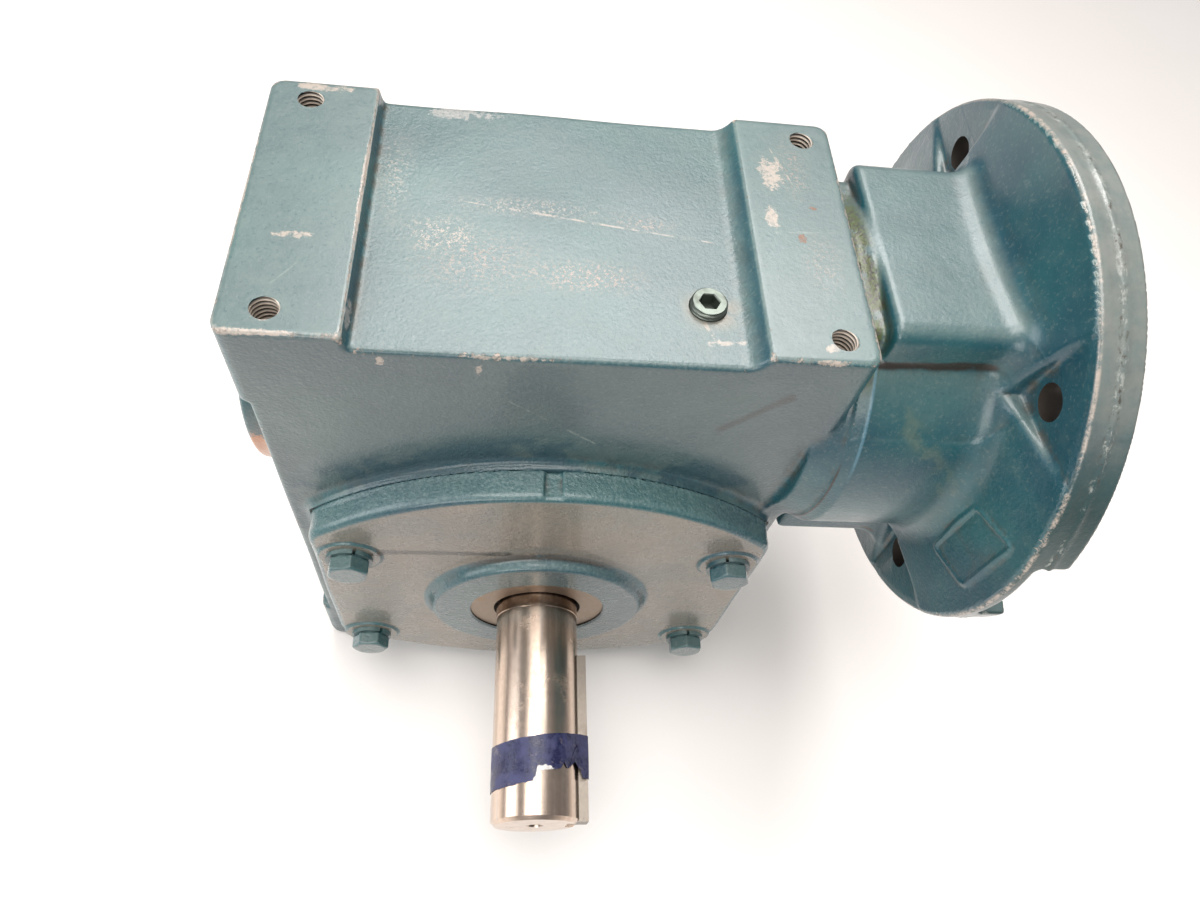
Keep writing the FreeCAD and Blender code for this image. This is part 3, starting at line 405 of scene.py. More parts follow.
AXES = {                          # rows: where X, Y and Z of a turned solid point
    "+x": ((0, 0, -1), (0, 1, 0), (1, 0, 0)),
    "-y": ((1, 0, 0), (0, 0, 1), (0, -1, 0)),
    "+y": ((-1, 0, 0), (0, 0, 1), (0, 1, 0)),
    "+z": ((1, 0, 0), (0, 1, 0), (0, 0, 1)),
    "-z": ((1, 0, 0), (0, -1, 0), (0, 0, -1)),
}


def facing(points, axis, at):
    """Turns points made about Z so that Z runs along the axis, then moves them."""
    return points @ np.array(AXES[axis], float) + np.array(at, float)


def turned(profile, axis, at, segments=96):
    """A lathe solid that stands along an axis of the frame."""
    points, faces = lathe(profile, segments)
    return facing(points, axis, at), faces


def screw(axis, at, *sizes):
    """A threaded rod that stands along an axis of the frame."""
    points, faces = threaded(*sizes)
    return facing(points, axis, at), faces


def joined(parts):
    """One point and face list from several."""
    points, faces, base = [], [], 0
    for p, f in parts:
        points.append(p)
        faces += [[i + base for i in face] for face in f]
        base += len(p)
    return np.concatenate(points), faces


def applied(obj, kind, **settings):
    """Adds one modifier to an object and keeps its result as the mesh."""
    modifier = obj.modifiers.new("change", kind)
    for key, value in settings.items():
        setattr(modifier, key, value)
    bpy.context.view_layer.update()
    result = bpy.data.meshes.new_from_object(obj.evaluated_get(bpy.context.evaluated_depsgraph_get()))
    obj.modifiers.clear()
    obj.data = result


def combine(obj, shape, operation):
    """Boolean with a closed shape of points and faces."""
    tool = make_object("tool", *shape)
    applied(obj, "BOOLEAN", solver="MANIFOLD", operation=operation, object=tool)
    bpy.data.objects.remove(tool)


def thin_out(obj, limit):
    """Merges the faces of flat stretches until the piece has at most so many triangles."""
    count = sum(len(p.vertices) - 2 for p in obj.data.polygons)
    if count > limit:
        applied(obj, "DECIMATE", ratio=limit / count)


def shade(obj, angle=40.0):
    obj.data.shade_smooth()
    obj.data.set_sharp_from_angle(angle=math.radians(angle))


def read(items, key, width=1, kind=np.float32):
    """One property of all points, corners or faces as an array."""
    out = np.empty(len(items) * width, kind)
    items.foreach_get(key, out)
    return out.reshape(-1, width) if width > 1 else out


def smooth_skin(obj, field):
    """Takes the normals of the cast skin from the field itself, so that thinned faces don't show."""
    mesh = obj.data
    normals = read(mesh.corner_normals, "vector", 3)
    slope = slope_of(field, points_of(obj), 0.3)
    slope /= np.maximum(np.linalg.norm(slope, axis=1), 1e-6)[:, None]
    ideal = slope[read(mesh.loops, "vertex_index", kind=np.int32)]
    sizes = read(mesh.polygons, "loop_total", kind=np.int32)
    painted = read(mesh.polygons, "material_index", kind=np.int32) == 0
    face = np.repeat(read(mesh.polygons, "normal", 3), sizes, axis=0)
    use = np.repeat(painted, sizes) & ((ideal * face).sum(1) > 0.6)
    normals[use] = ideal[use]
    mesh.normals_split_custom_set(normals.tolist())


def points_of(obj):
    return read(obj.data.vertices, "co", 3).astype(float) / MM


def mark(obj, name, values):
    """Stores one number a point for the materials."""
    layer = obj.data.attributes.new(name, "FLOAT", "POINT")
    layer.data.foreach_set("value", np.asarray(values, np.float32))


def mark_form(obj, field, reach=1.6, calm=None):
    """How much each point stands on an outer edge or in a corner, from the field's bend."""
    p = points_of(obj)
    bend = -6 * field(*p.T)
    for i in range(3):
        for way in (-reach, reach):
            q = p.copy()
            q[:, i] += way
            bend = bend + field(*q.T)
    bend = bend / reach ** 2
    worn = np.clip(bend * 1.6, 0, 1)
    mark(obj, "edge", worn if calm is None else worn * calm(*p.T))
    mark(obj, "corner", np.clip(-bend * 2.2, 0, 1))


SKIN_DEEP = 0.45                  # a face farther than this from the cast surface was cut


def slots_by_skin(obj, field, skin, inner):
    """Painted skin where faces lie on the cast surface, bare metal where they were cut."""
    obj.data.materials.clear()
    obj.data.materials.append(skin)
    obj.data.materials.append(inner)
    p = read(obj.data.polygons, "center", 3).astype(float) / MM
    obj.data.polygons.foreach_set("material_index", (np.abs(field(*p.T)) > SKIN_DEEP).astype(np.int32))


# ---- materials ----

class Graph:
    """Small helper for writing node materials; places, lengths and noise sizes are millimetres."""

    def __init__(self, name):
        self.material = bpy.data.materials.new(name)
        self.material.use_nodes = True
        self.tree = self.material.node_tree
        self.shader = next(n for n in self.tree.nodes if n.type == "BSDF_PRINCIPLED")
        metres = self.node("ShaderNodeTexCoord").outputs["Object"]
        self.place = self.vector("MULTIPLY", metres, [1 / MM] * 3)

    def node(self, kind, **settings):
        node = self.tree.nodes.new(kind)
        for key, value in settings.items():
            setattr(node, key, value)
        return node

    def put(self, socket, value):
        if isinstance(value, bpy.types.NodeSocket):
            self.tree.links.new(value, socket)
        elif isinstance(value, (tuple, list)) and socket.type == "RGBA" and len(value) == 3:
            socket.default_value = (*value, 1.0)
        else:
            socket.default_value = value

    def fed(self, kind, values, **settings):
        """A new node with its first inputs filled."""
        node = self.node(kind, **settings)
        for socket, value in zip(node.inputs, values):
            if value is not None:
                self.put(socket, value)
        return node

    def math(self, operation, a, b=None, clamp=False):
        return self.fed("ShaderNodeMath", (a, b), operation=operation, use_clamp=clamp).outputs[0]

    def product(self, *values):
        out = values[0]
        for value in values[1:]:
            out = self.math("MULTIPLY", out, value)
        return out

    def total(self, *pairs):
        """Sum of (value, share) pairs."""
        out, *others = [self.math("MULTIPLY", value, share) for value, share in pairs]
        for other in others:
            out = self.math("ADD", out, other)
        return out

    def step(self, value, low, high):
        """0 at low, 1 at high, smooth between; low may be the greater."""
        ends = (low, high, 0.0, 1.0) if low <= high else (high, low, 1.0, 0.0)
        node = self.fed("ShaderNodeMapRange", (value, *ends), interpolation_type="SMOOTHSTEP")
        return node.outputs["Result"]

    def vector(self, operation, a, b=None, out="Vector"):
        return self.fed("ShaderNodeVectorMath", (a, b), operation=operation).outputs[out]

    def stretched(self, scale):
        return self.vector("MULTIPLY", self.place, scale)

    def noise(self, size, detail=3.0, rough=0.55, where=None, shift=0.0):
        """Noise whose features are about size millimetres; shift, in metres, gives another pattern."""
        node = self.fed("ShaderNodeTexNoise", (where or self.place, shift / MM, 1.0 / size, detail, rough),
                        noise_dimensions="4D" if shift else "3D")
        return node.outputs["Fac"]

    def mix(self, amount, a, b):
        """Colour a where amount is 0 and b where it is 1."""
        skipped = (None,) * 5
        return self.fed("ShaderNodeMix", (amount, *skipped, a, b), data_type="RGBA").outputs[2]

    def lay(self, color, tone, *masks):
        """Puts a tone over a colour where all the masks are on."""
        return self.mix(self.product(*masks), color, tone)

    def blend(self, amount, a, b):
        """Number a where amount is 0 and b where it is 1."""
        return self.fed("ShaderNodeMix", (amount, None, a, b), data_type="FLOAT").outputs[0]

    def split(self, vector):
        return self.fed("ShaderNodeSeparateXYZ", (vector,)).outputs

    def value(self, name):
        return self.node("ShaderNodeAttribute", attribute_name=name).outputs["Fac"]

    def normal(self):
        """X, Y and Z of the surface's direction, as it is at rest."""
        looks = self.node("ShaderNodeNewGeometry").outputs["Normal"]
        return self.split(self.fed("ShaderNodeVectorTransform", (looks,), vector_type="NORMAL",
                                   convert_from="WORLD", convert_to="OBJECT").outputs[0])

    def band(self, value, centre, half, soft):
        """1 within half a band's width of a coordinate, 0 outside it."""
        return self.step(self.math("ABSOLUTE", self.math("SUBTRACT", value, centre)), half, soft)

    def away(self, centre, scale):
        """Distance from a point, counted only along the axes whose scale isn't 0."""
        off = self.vector("MULTIPLY", self.vector("SUBTRACT", self.place, centre), scale)
        return self.vector("LENGTH", off, out="Value")

    def spot(self, centre, size, soft):
        """Fades from 1 inside an ellipsoid to 0 outside it."""
        return self.step(self.away(centre, [1 / s for s in size]), 1.0, 1.0 - soft)

    def line(self, start, end, width, waver):
        """1 on a wavering scratch between two points, 0 away from it."""
        along = np.subtract(end, start).astype(float)
        off = self.vector("SUBTRACT", self.place, start)
        share = self.vector("DOT_PRODUCT", off, along / (along @ along), "Value")
        foot = self.node("ShaderNodeVectorMath", operation="SCALE")
        foot.inputs[0].default_value = along
        self.put(foot.inputs["Scale"], self.math("ADD", share, 0.0, clamp=True))
        distance = self.vector("DISTANCE", off, foot.outputs[0], "Value")
        wave = self.product(self.math("SUBTRACT", self.noise(14.0), 0.5), waver)
        return self.step(self.math("ABSOLUTE", self.math("ADD", distance, wave)), width, width * 0.3)

    def bump(self, *layers):
        """Stacks (height socket, millimetres) pairs into the shader's normal."""
        normal = None
        for height, size in layers:
            node = self.node("ShaderNodeBump")
            node.inputs["Strength"].default_value = 1.0
            node.inputs["Distance"].default_value = size * MM
            self.put(node.inputs["Height"], height)
            if normal:
                self.put(node.inputs["Normal"], normal)
            normal = node.outputs[0]
        self.put(self.shader.inputs["Normal"], normal)

    def finish(self, color, rough, metallic=0.0, **plain):
        self.put(self.shader.inputs["Base Color"], color)
        self.put(self.shader.inputs["Roughness"], rough)
        self.put(self.shader.inputs["Metallic"], metallic)
        for key, value in plain.items():
            self.shader.inputs[key.replace("_", " ")].default_value = value
        return self.material


TEAL = (0.016, 0.104, 0.116)
TEAL_DEEP = (0.009, 0.062, 0.088)
TEAL_GREY = (0.058, 0.125, 0.125)
PALE = (0.200, 0.250, 0.226)
CREAM = (0.430, 0.365, 0.310)
PINK = (0.380, 0.270, 0.220)
ORANGE = (0.450, 0.190, 0.085)
BARE = (0.330, 0.325, 0.310)
DUST_AND_REFLECTION = (0.170, 0.162, 0.145)
RIM_GREY = (0.215, 0.220, 0.200)
GRIME = (0.060, 0.050, 0.034)
MOSS = (0.085, 0.105, 0.018)
SOOT = (0.020, 0.016, 0.011)
RUST = (0.180, 0.075, 0.032)


def paint(name, wear=1.0, extra=None, form=True, gloss=(0.30, 0.44), skin=1.0, dust_and_sheen=1.0, coat=0.22):
    """Green enamel over a rough casting: mottled, chipped to primer at edges, grimy in corners."""
    g = Graph(name)
    slow, mid, fine = g.noise(60.0), g.noise(9.0, 4.0, 0.6), g.noise(1.5, 3.0, 0.6)
    x, _, z = g.split(g.place)
    _, out, up = g.normal()
    color = g.mix(g.step(slow, 0.35, 0.68), TEAL_DEEP, TEAL)
    color = g.lay(color, TEAL_GREY, g.step(mid, 0.45, 0.75), 0.35)
    # dust and painted sheen on what faces up, most on the foot strips; on the front, dust and painted
    # reflection
    up = g.step(up, 0.45, 0.93)
    color = g.lay(color, PALE, up, g.blend(mid, 0.34 * dust_and_sheen, 0.58 * dust_and_sheen))
    color = g.lay(color, PALE, g.step(z, TOP - 1.0, TOP - 0.3), up, 0.22)
    # dust and painted reflection of the pale floor on faces that look forward, not on the neck
    color = g.lay(color, DUST_AND_REFLECTION, g.step(out, -0.90, -0.995), g.step(x, 108, 100), g.blend(slow, 0.20, 0.48))
    color = g.lay(color, PALE, g.step(fine, 0.56, 0.68), 0.22)
    color = g.lay(color, TEAL_DEEP, g.step(fine, 0.42, 0.32), 0.30)
    layers = []
    if form:
        edge, corner = g.value("edge"), g.value("corner")
        color = g.lay(color, GRIME, corner, g.step(g.noise(7.0, 4.0, 0.65, shift=1.0), 0.40, 0.62), 0.85)
        ragged = g.total((g.noise(2.4, 8.0, 0.78, shift=2.0), 0.60),
                         (g.noise(24.0, 3.0, 0.6, shift=4.0), 0.36), (edge, 0.30 * wear))
        rubbed = g.total((g.noise(22.0, 3.0, 0.6, shift=3.0), 0.75), (edge, 0.30))
        color = g.lay(color, TEAL_GREY, g.step(rubbed, 0.44, 0.62), edge, 0.45)
        chip = g.product(g.step(ragged, 0.720, 0.745), g.step(edge, 0.12, 0.35))
        color = g.mix(chip, color, g.mix(g.step(fine, 0.45, 0.6), CREAM, PINK))
        color = g.lay(color, BARE, g.step(ragged, 0.825, 0.85), g.step(edge, 0.2, 0.4))
        layers.append((g.math("SUBTRACT", 1.0, chip), 0.12))
    if extra:
        color = extra(g, color, fine, mid)
    # cast skin: rough on the case, calmer on the foot strips and on the neck and flange
    cast = g.product(g.step(z, TOP - 0.2, TOP - 1.2),
                     g.blend(g.step(x, 112, 118), 1.0, 0.45))
    grain = g.product(g.noise(1.3, 3.0, 0.6), g.blend(cast, 0.25, 1.0))
    orange_peel = g.product(g.noise(3.4, 2.0, 0.5, shift=5.0), g.blend(cast, 0.4, 1.0))
    g.bump((grain, 0.38 * skin), (orange_peel, 0.34 * skin), *layers)
    rough = g.blend(g.step(mid, 0.3, 0.7), *gloss)
    return g.finish(color, rough, IOR=1.5, Coat_Weight=0.6, Coat_Roughness=coat)


RECESS = TOP - STRIP_DEPTH        # the top between the foot strips
SPECKLES = (                      # clouds of small chips: centre, size, amount, tone
    ((-44, -8, RECESS), (20, 14, 9), 1.0, CREAM), ((-30, -20, RECESS), (34, 22, 9), 0.6, PINK),
    ((8, -24, RECESS), (30, 11, 9), 1.0, PINK), ((-12, 8, RECESS), (45, 7, 9), 0.7, CREAM),
    ((30, 4, RECESS), (16, 6, 9), 0.8, PINK), ((-62, 20, RECESS), (9, 34, 9), 0.6, CREAM),
    ((94, -16, TOP), (12, 22, 4), 0.5, PINK), ((90, 34, TOP), (9, 26, 4), 0.7, PINK),
)
CHIPS = (                         # broken patches: centre, size, tone
    ((-40, 58, RECESS), (38, 9, 4), BARE), ((-91, -19, TOP), (15, 4.0, 4), CREAM),
    ((80, 30, TOP), (11, 19, 4), CREAM), ((78, 6, TOP), (6, 14, 4), CREAM),
    ((-72.0, 10, TOP - 1), (1.8, 60, 6), CREAM), ((-70.5, -50, TOP - 3), (4, 14, 6), BARE),
    ((-98, -60.5, TOP), (34, 2.6, 4), CREAM), ((90, -61, TOP), (12, 2.4, 4), CREAM),
    ((-20, -61, RECESS), (50, 1.6, 4), CREAM), ((FOOT_X - 5, -FOOT_Y - 4, TOP), (5, 4, 4), CREAM),
    ((-FOOT_X, -FOOT_Y - 4, TOP), (7, 4, 4), CREAM), ((-111.0, 0, TOP), (1.8, 70, 4), CREAM),
    ((-60, -HALF, 268), (3, 5, 5), CREAM), ((-28, -HALF, 266), (2.4, 5, 7), CREAM),
    ((-92, 58, TOP), (22, 5, 4), CREAM), ((88, -4, TOP), (4.0, 5.0, 4), RUST),
    ((94, 12, TOP), (5.0, 2.2, 4), RUST),
)
SCRATCHES = (                     # start, end, width, tone
    ((-60, 12, RECESS), (60, -4, RECESS), 0.7, CREAM), ((82, 44, TOP), (90, 20, TOP), 0.35, CREAM),
    ((78, -2, TOP), (104, 0, TOP), 0.5, PALE), ((-86, -28, TOP), (-98, -44, TOP), 0.4, PALE),
    ((-20, -HALF, 250), (16, -HALF, 222), 0.4, PALE), ((135, 25, 278), (150, -30, 278), 0.4, PALE),
    ((48.5, -41.5, RECESS), (53, -50, RECESS), 1.0, CREAM),
    ((50, -51, RECESS), (62, -50, RECESS), 0.9, CREAM),
)
SMEARS = (                        # dirt: start, end, width, amount
    ((110, -46.5, 260), (162, -46, 262.5), 2.4, 1.0), ((62, -HALF, 236), (82, -HALF, 258), 3.0, 0.5),
    ((120, -50, 129), (172, -50, 132), 2.0, 0.9),
)


def housing_wear(g, color, fine, mid):
    """Rubs, chips and scratches in the places where this casting has been handled."""
    x, y, z = g.split(g.place)
    edge = g.value("edge")
    speckle = g.step(g.noise(1.2, 5.0, 0.8, shift=6.0), 0.52, 0.58)
    for centre, size, amount, tone in SPECKLES:
        color = g.lay(color, tone, g.spot(centre, size, 0.9), speckle, amount)
    ragged = g.total((g.noise(3.2, 9.0, 0.82, shift=7.0), 0.72), (g.noise(13.0, 3.0, 0.6, shift=2.0), 0.28))
    color = g.lay(color, g.mix(g.step(fine, 0.4, 0.6), CREAM, BARE), g.step(edge, 0.55, 0.85),
                  g.step(z, TOP - 2.6, TOP - 1.2), g.step(ragged, 0.44, 0.50),
                  g.step(x, 70, -80), 0.9)
    # worn spots and painted highlight: pale speckle along the edges of the recess and foot strips
    color = g.lay(color, (0.26, 0.33, 0.31), g.step(edge, 0.50, 0.90),
                  g.step(z, RECESS - 3.0, RECESS - 1.0), g.step(fine, 0.46, 0.56), 0.5)
    for centre, size, tone in CHIPS:
        chip = g.step(g.total((g.spot(centre, size, 0.9), 0.26), (ragged, 1.0)), 0.690, 0.72)
        color = g.lay(color, tone, chip, g.blend(g.step(fine, 0.35, 0.55), 0.45, 0.95))
    broken = g.step(g.noise(5.0, 5.0, 0.75, shift=12.0), 0.44, 0.54)
    for start, end, width, tone in SCRATCHES:
        color = g.lay(color, tone, g.line(start, end, width, 2.4), broken, 0.75)
    # oily halo round the plug, moss in the joint, smears, a rubbed place on the neck
    color = g.lay(color, (0.30, 0.235, 0.17), g.spot((52, -36, RECESS), (14, 12, 6), 0.7),
                  g.step(mid, 0.42, 0.6), 0.6)
    color = g.lay(color, g.mix(g.step(fine, 0.45, 0.6), MOSS, GRIME),
                  g.spot((113.5, -10, 262), (6.5, 60, 22), 0.4), g.step(mid, 0.32, 0.50), 0.9)
    for start, end, width, amount in SMEARS:
        color = g.lay(color, SOOT, g.line(start, end, width, 3.0), g.step(mid, 0.25, 0.45), amount)
    color = g.lay(color, (0.16, 0.19, 0.12), g.line((128, -60, 250), (160, -72, 215), 6.0, 4.0),
                  g.step(mid, 0.4, 0.6), 0.30)
    # painted shade: dark blue patches on the front face above the cover's ledge
    arc = g.away((OUT_X, 0, OUT_Z + ARC_TOP - ARC_TOP_R), (1, 0, 1))
    color = g.lay(color, (0.006, 0.050, 0.072), g.step(arc, ARC_TOP_R + 24, ARC_TOP_R + 12),
                  g.step(g.noise(40.0, 5.0, 0.65, shift=14.0), 0.46, 0.54), g.step(y, -58, -61), 0.7)
    # open joint line in the paint where the neck starts, and a painted highlight on the neck's rounded edge
    # beside it
    color = g.lay(color, (0.12, 0.26, 0.34), g.band(x, 116.2, 0.9, 0.2), g.step(y, -36, -48),
                  g.step(z, 215, 232), 0.6)
    color = g.lay(color, (0.012, 0.010, 0.008), g.band(x, CRACK_X, 0.55, 0.2),
                  g.step(y, -40, -50), g.step(z, 228, 218))
    # greyed rim of the flange, darker low down, with a pecked seam and its back edge worn bare
    around = g.away((0, 0, WORM_Z), (0, 1, 1))
    rim = g.product(g.step(around, FLANGE_R - 2.2, FLANGE_R - 1.0),
                    g.step(x, FLANGE_BACK, FLANGE_BACK + 1))
    color = g.lay(color, RIM_GREY, rim, g.blend(g.step(mid, 0.3, 0.7), 0.45, 0.85), g.step(z, 235, 305))
    color = g.lay(color, (0.016, 0.046, 0.042), rim, g.step(z, 290, 245), 0.80)
    skirt = g.step(around, FLANGE_R - 2.0, FLANGE_R - 1.0)
    seam = g.product(g.band(x, FLANGE_BACK + 9.0, 2.6, 0.6), skirt, g.step(mid, 0.38, 0.52), 0.8)
    pecked = g.noise(1.9, 3.0, 0.7, where=g.stretched([1.0, 0.5, 0.5]))
    color = g.lay(color, (0.36, 0.38, 0.35), seam, g.step(pecked, 0.54, 0.60))
    color = g.lay(color, GRIME, seam, g.step(pecked, 0.44, 0.38))
    color = g.lay(color, CREAM, g.band(x, FLANGE_BACK + 0.9, 1.3, 0.3), skirt, g.step(ragged, 0.46, 0.56))
    orange = g.total((g.spot((-113, -50, 190), (8, 16, 30), 0.6), 0.3), (ragged, 1.0))
    return g.lay(color, ORANGE, g.step(orange, 0.70, 0.73))


def cover_wear(g, color, fine, mid):
    """Oil stains round the bolts, warm dirt and painted floor reflection over the face, and painted sheen on
    top.
    """
    _, out, up = g.normal()
    from_boss = g.away((OUT_X, 0, OUT_Z), (1, 0, 1))
    # warm dirt and painted reflection of the pale floor on the face, not on the boss
    film_and_reflection = g.blend(g.step(g.noise(35.0, 3.0, 0.6, shift=8.0), 0.3, 0.7), 0.40, 0.72)
    color = g.lay(color, (0.290, 0.225, 0.165), film_and_reflection, g.step(out, -0.93, -0.995),
                  g.step(from_boss, COVER_BOSS_R - 3, COVER_BOSS_R + 2))
    y = -PLATE_FACE
    stain = g.line((OUT_X - BOLT_X + 4, y, OUT_Z + 52), (OUT_X - 16, y, OUT_Z + 53), 3.2, 3.0)
    crease = g.product(g.step(from_boss, COVER_BOSS_R + 0.8, COVER_BOSS_R + 2.2),
                       g.step(from_boss, COVER_BOSS_R + 6, COVER_BOSS_R + 3),
                       g.step(g.split(g.place)[2], OUT_Z + 38, OUT_Z + 48))
    stain = g.math("MAXIMUM", stain, crease)
    color = g.lay(color, (0.036, 0.028, 0.018), stain, g.step(mid, 0.22, 0.42), 0.9)
    # painted sheen and glints: pale speckle on the top-facing rim and boss
    color = g.lay(color, (0.30, 0.42, 0.41), g.step(up, 0.45, 0.95), g.step(out, -0.85, -0.60),
                  g.blend(g.step(fine, 0.40, 0.62), 0.17, 0.30))
    spotty = g.step(g.noise(5.0, 4.0, 0.7, shift=9.0), 0.5, 0.6)
    for bu, bv in COVER_BOLTS:
        color = g.lay(color, GRIME, g.spot((OUT_X + bu, y, OUT_Z + bv), (16, 8, 16), 0.5), spotty, 0.5)
    return color


def steel(name, base, rough, turned_axis=None, stain=0.35, stain_color=RUST, grooves=0.012, crest=False):
    """Bare metal with tool marks round an axis, stains and small pits."""
    g = Graph(name)
    blotch, fine = g.noise(14.0, 5.0, 0.65), g.noise(2.0, 4.0, 0.7, shift=1.0)
    color = g.mix(g.step(fine, 0.3, 0.75), tuple(0.86 * c for c in base), base)
    mask = g.product(g.step(blotch, 0.52, 0.78), stain)
    color = g.lay(color, stain_color, mask)
    pits = g.step(g.noise(1.1, 2.0, 0.5, shift=2.0), 0.70, 0.76)
    color = g.lay(color, tuple(0.35 * c for c in base), pits, 0.5)
    # painted highlight on the thread crests and painted shade in their grooves
    if crest:                     # bright thread crests over black grooves
        color = g.mix(g.step(g.value("crest"), 0.05, 0.40), (0.016, 0.010, 0.006), color)
        color = g.lay(color, (0.80, 0.70, 0.60), g.step(g.value("crest"), 0.62, 0.90))
    if name == "ground_steel":    # painted reflection in lengthwise streaks, painted shade in the centre hole, dirt by the seal
        reflection_streaks = g.noise(5.0, 4.0, 0.6, where=g.stretched([1.0, 0.04, 1.0]))
        color = g.lay(color, (0.40, 0.28, 0.21), g.step(reflection_streaks, 0.46, 0.62), 0.38)
        color = g.lay(color, (0.36, 0.38, 0.42), g.step(reflection_streaks, 0.42, 0.30), 0.45)
        # painted shade: the centre hole in the shaft's end is coloured dark
        off_axis = g.away((OUT_X, 0, OUT_Z), (1, 0, 1))
        color = g.lay(color, (0.060, 0.036, 0.022), g.step(off_axis, 4.0, 3.0), 0.85)
        color = g.lay(color, (0.15, 0.095, 0.06), g.step(g.split(g.place)[1], -93, -86),
                      g.step(blotch, 0.30, 0.55), 0.8)
    layers = [(fine, 0.006 if grooves < 0.01 else 0.02)]
    rough = [(mask, 0.35), (rough, 1.0)]
    if turned_axis is not None:
        scale = [0.004] * 3
        scale[turned_axis] = 1.0
        lines = g.noise(0.8, 3.0, 0.6, where=g.stretched(scale))
        layers.append((lines, grooves))
        rough.append((lines, 0.06))
    g.bump(*layers)
    metal = g.math("SUBTRACT", 0.35 if crest else 1.0, g.product(mask, 0.3 if crest else 0.8))
    return g.finish(color, g.total(*rough), metal)


def dull(name, base, dark, rough, size=6.0, grain=0.05, **plain):
    """Rubber, paper, cast iron and other plain stuff: mottled, with a fine grain."""
    g = Graph(name)
    mottled = g.noise(size, 4.0, 0.65)
    color = g.mix(g.step(mottled, 0.35, 0.7), dark, base)
    g.bump((g.noise(size * 0.15, 3.0, 0.6), grain))
    return g.finish(color, g.blend(mottled, rough * 0.85, min(1.0, rough * 1.1)), **plain)


def tape_material():
    """Dark blue masking tape: creped across, with grey blotches of painted sheen."""
    g = Graph("blue_tape")
    crepe = g.noise(0.9, 3.0, 0.6, where=g.stretched([0.5, 2.0, 0.5]))
    blotch = g.noise(7.0, 5.0, 0.7)
    color = g.mix(g.step(blotch, 0.4, 0.62), (0.016, 0.018, 0.062), (0.048, 0.052, 0.135))
    # painted sheen: grey blotches over the blue
    color = g.lay(color, (0.22, 0.19, 0.22), g.step(g.noise(3.0, 5.0, 0.75, shift=2.0), 0.58, 0.66), 0.55)
    frayed = g.total((g.value("torn"), 1.0), (g.noise(1.6, 4.0, 0.7), 0.8))
    color = g.lay(color, (0.70, 0.67, 0.64), g.step(frayed, 0.88, 0.96))
    g.bump((crepe, 0.10), (blotch, 0.25))
    return g.finish(color, g.blend(g.step(blotch, 0.35, 0.65), 0.20, 0.55))


MATERIALS = {
    "case_paint": paint("green_enamel_case", 1.0, housing_wear),
    "cover_paint": paint("green_enamel_cover", 0.9, cover_wear, gloss=(0.22, 0.36), skin=1.4,
                         dust_and_sheen=0.35, coat=0.14),
    "painted_bolt": paint("green_enamel_bolt", 0.6, gloss=(0.16, 0.28)),
    "painted_washer": paint("green_enamel_washer", form=False),
    "gasket": dull("painted_gasket", (0.014, 0.060, 0.068), (0.030, 0.028, 0.020), 0.6, 5.0, 0.04),
    "ground_steel": steel("ground_steel", (0.70, 0.57, 0.47), 0.20, 1, 0.34, (0.42, 0.25, 0.15), 0.0008),
    "cast_iron": dull("oiled_iron", (0.12, 0.105, 0.09), (0.05, 0.042, 0.035), 0.5, 9.0, 0.12, Metallic=0.6),
    "bronze": steel("bronze", (0.60, 0.36, 0.14), 0.30, 1, 0.3, (0.16, 0.09, 0.04)),
    "seal_rubber": dull("seal_rubber", (0.030, 0.026, 0.024), (0.014, 0.012, 0.011), 0.55, 4.0, 0.05),
    "seal_case": steel("seal_case_rusted", (0.36, 0.29, 0.23), 0.42, 1, 0.9, (0.42, 0.27, 0.15)),
    "tape": tape_material(),
    "zinc_steel": steel("zinc_steel", (0.19, 0.215, 0.19), 0.34, 2, 0.6, (0.07, 0.075, 0.05)),
    "spring_steel": steel("spring_steel", (0.20, 0.19, 0.18), 0.35, 0, 0.3),
    "pressed_cage": steel("pressed_cage", (0.48, 0.47, 0.45), 0.38, 0, 0.15),
    "bearing_steel": steel("bearing_steel", (0.62, 0.61, 0.60), 0.18, 0, 0.08),
}
MACHINED = steel("machined_iron", (0.42, 0.38, 0.33), 0.42, None, 0.6, (0.13, 0.085, 0.05), crest=True)
KEY_STEEL = steel("key_steel", (0.20, 0.175, 0.15), 0.34, 1, 0.6, (0.16, 0.11, 0.06))
for node in frame["nodes"].values():
    slot_name = node.data.materials[0].name.split(".")[0] if node.data.materials else ""
    node.data.materials.clear()
    node.data.materials.append(MATERIALS.get(slot_name, MATERIALS["bearing_steel"]))
frame["nodes"]["output_key"].data.materials[0] = KEY_STEEL

# ---- housing ----

CASE_PITCH = 1.3
FACE_LIMIT = 170_000


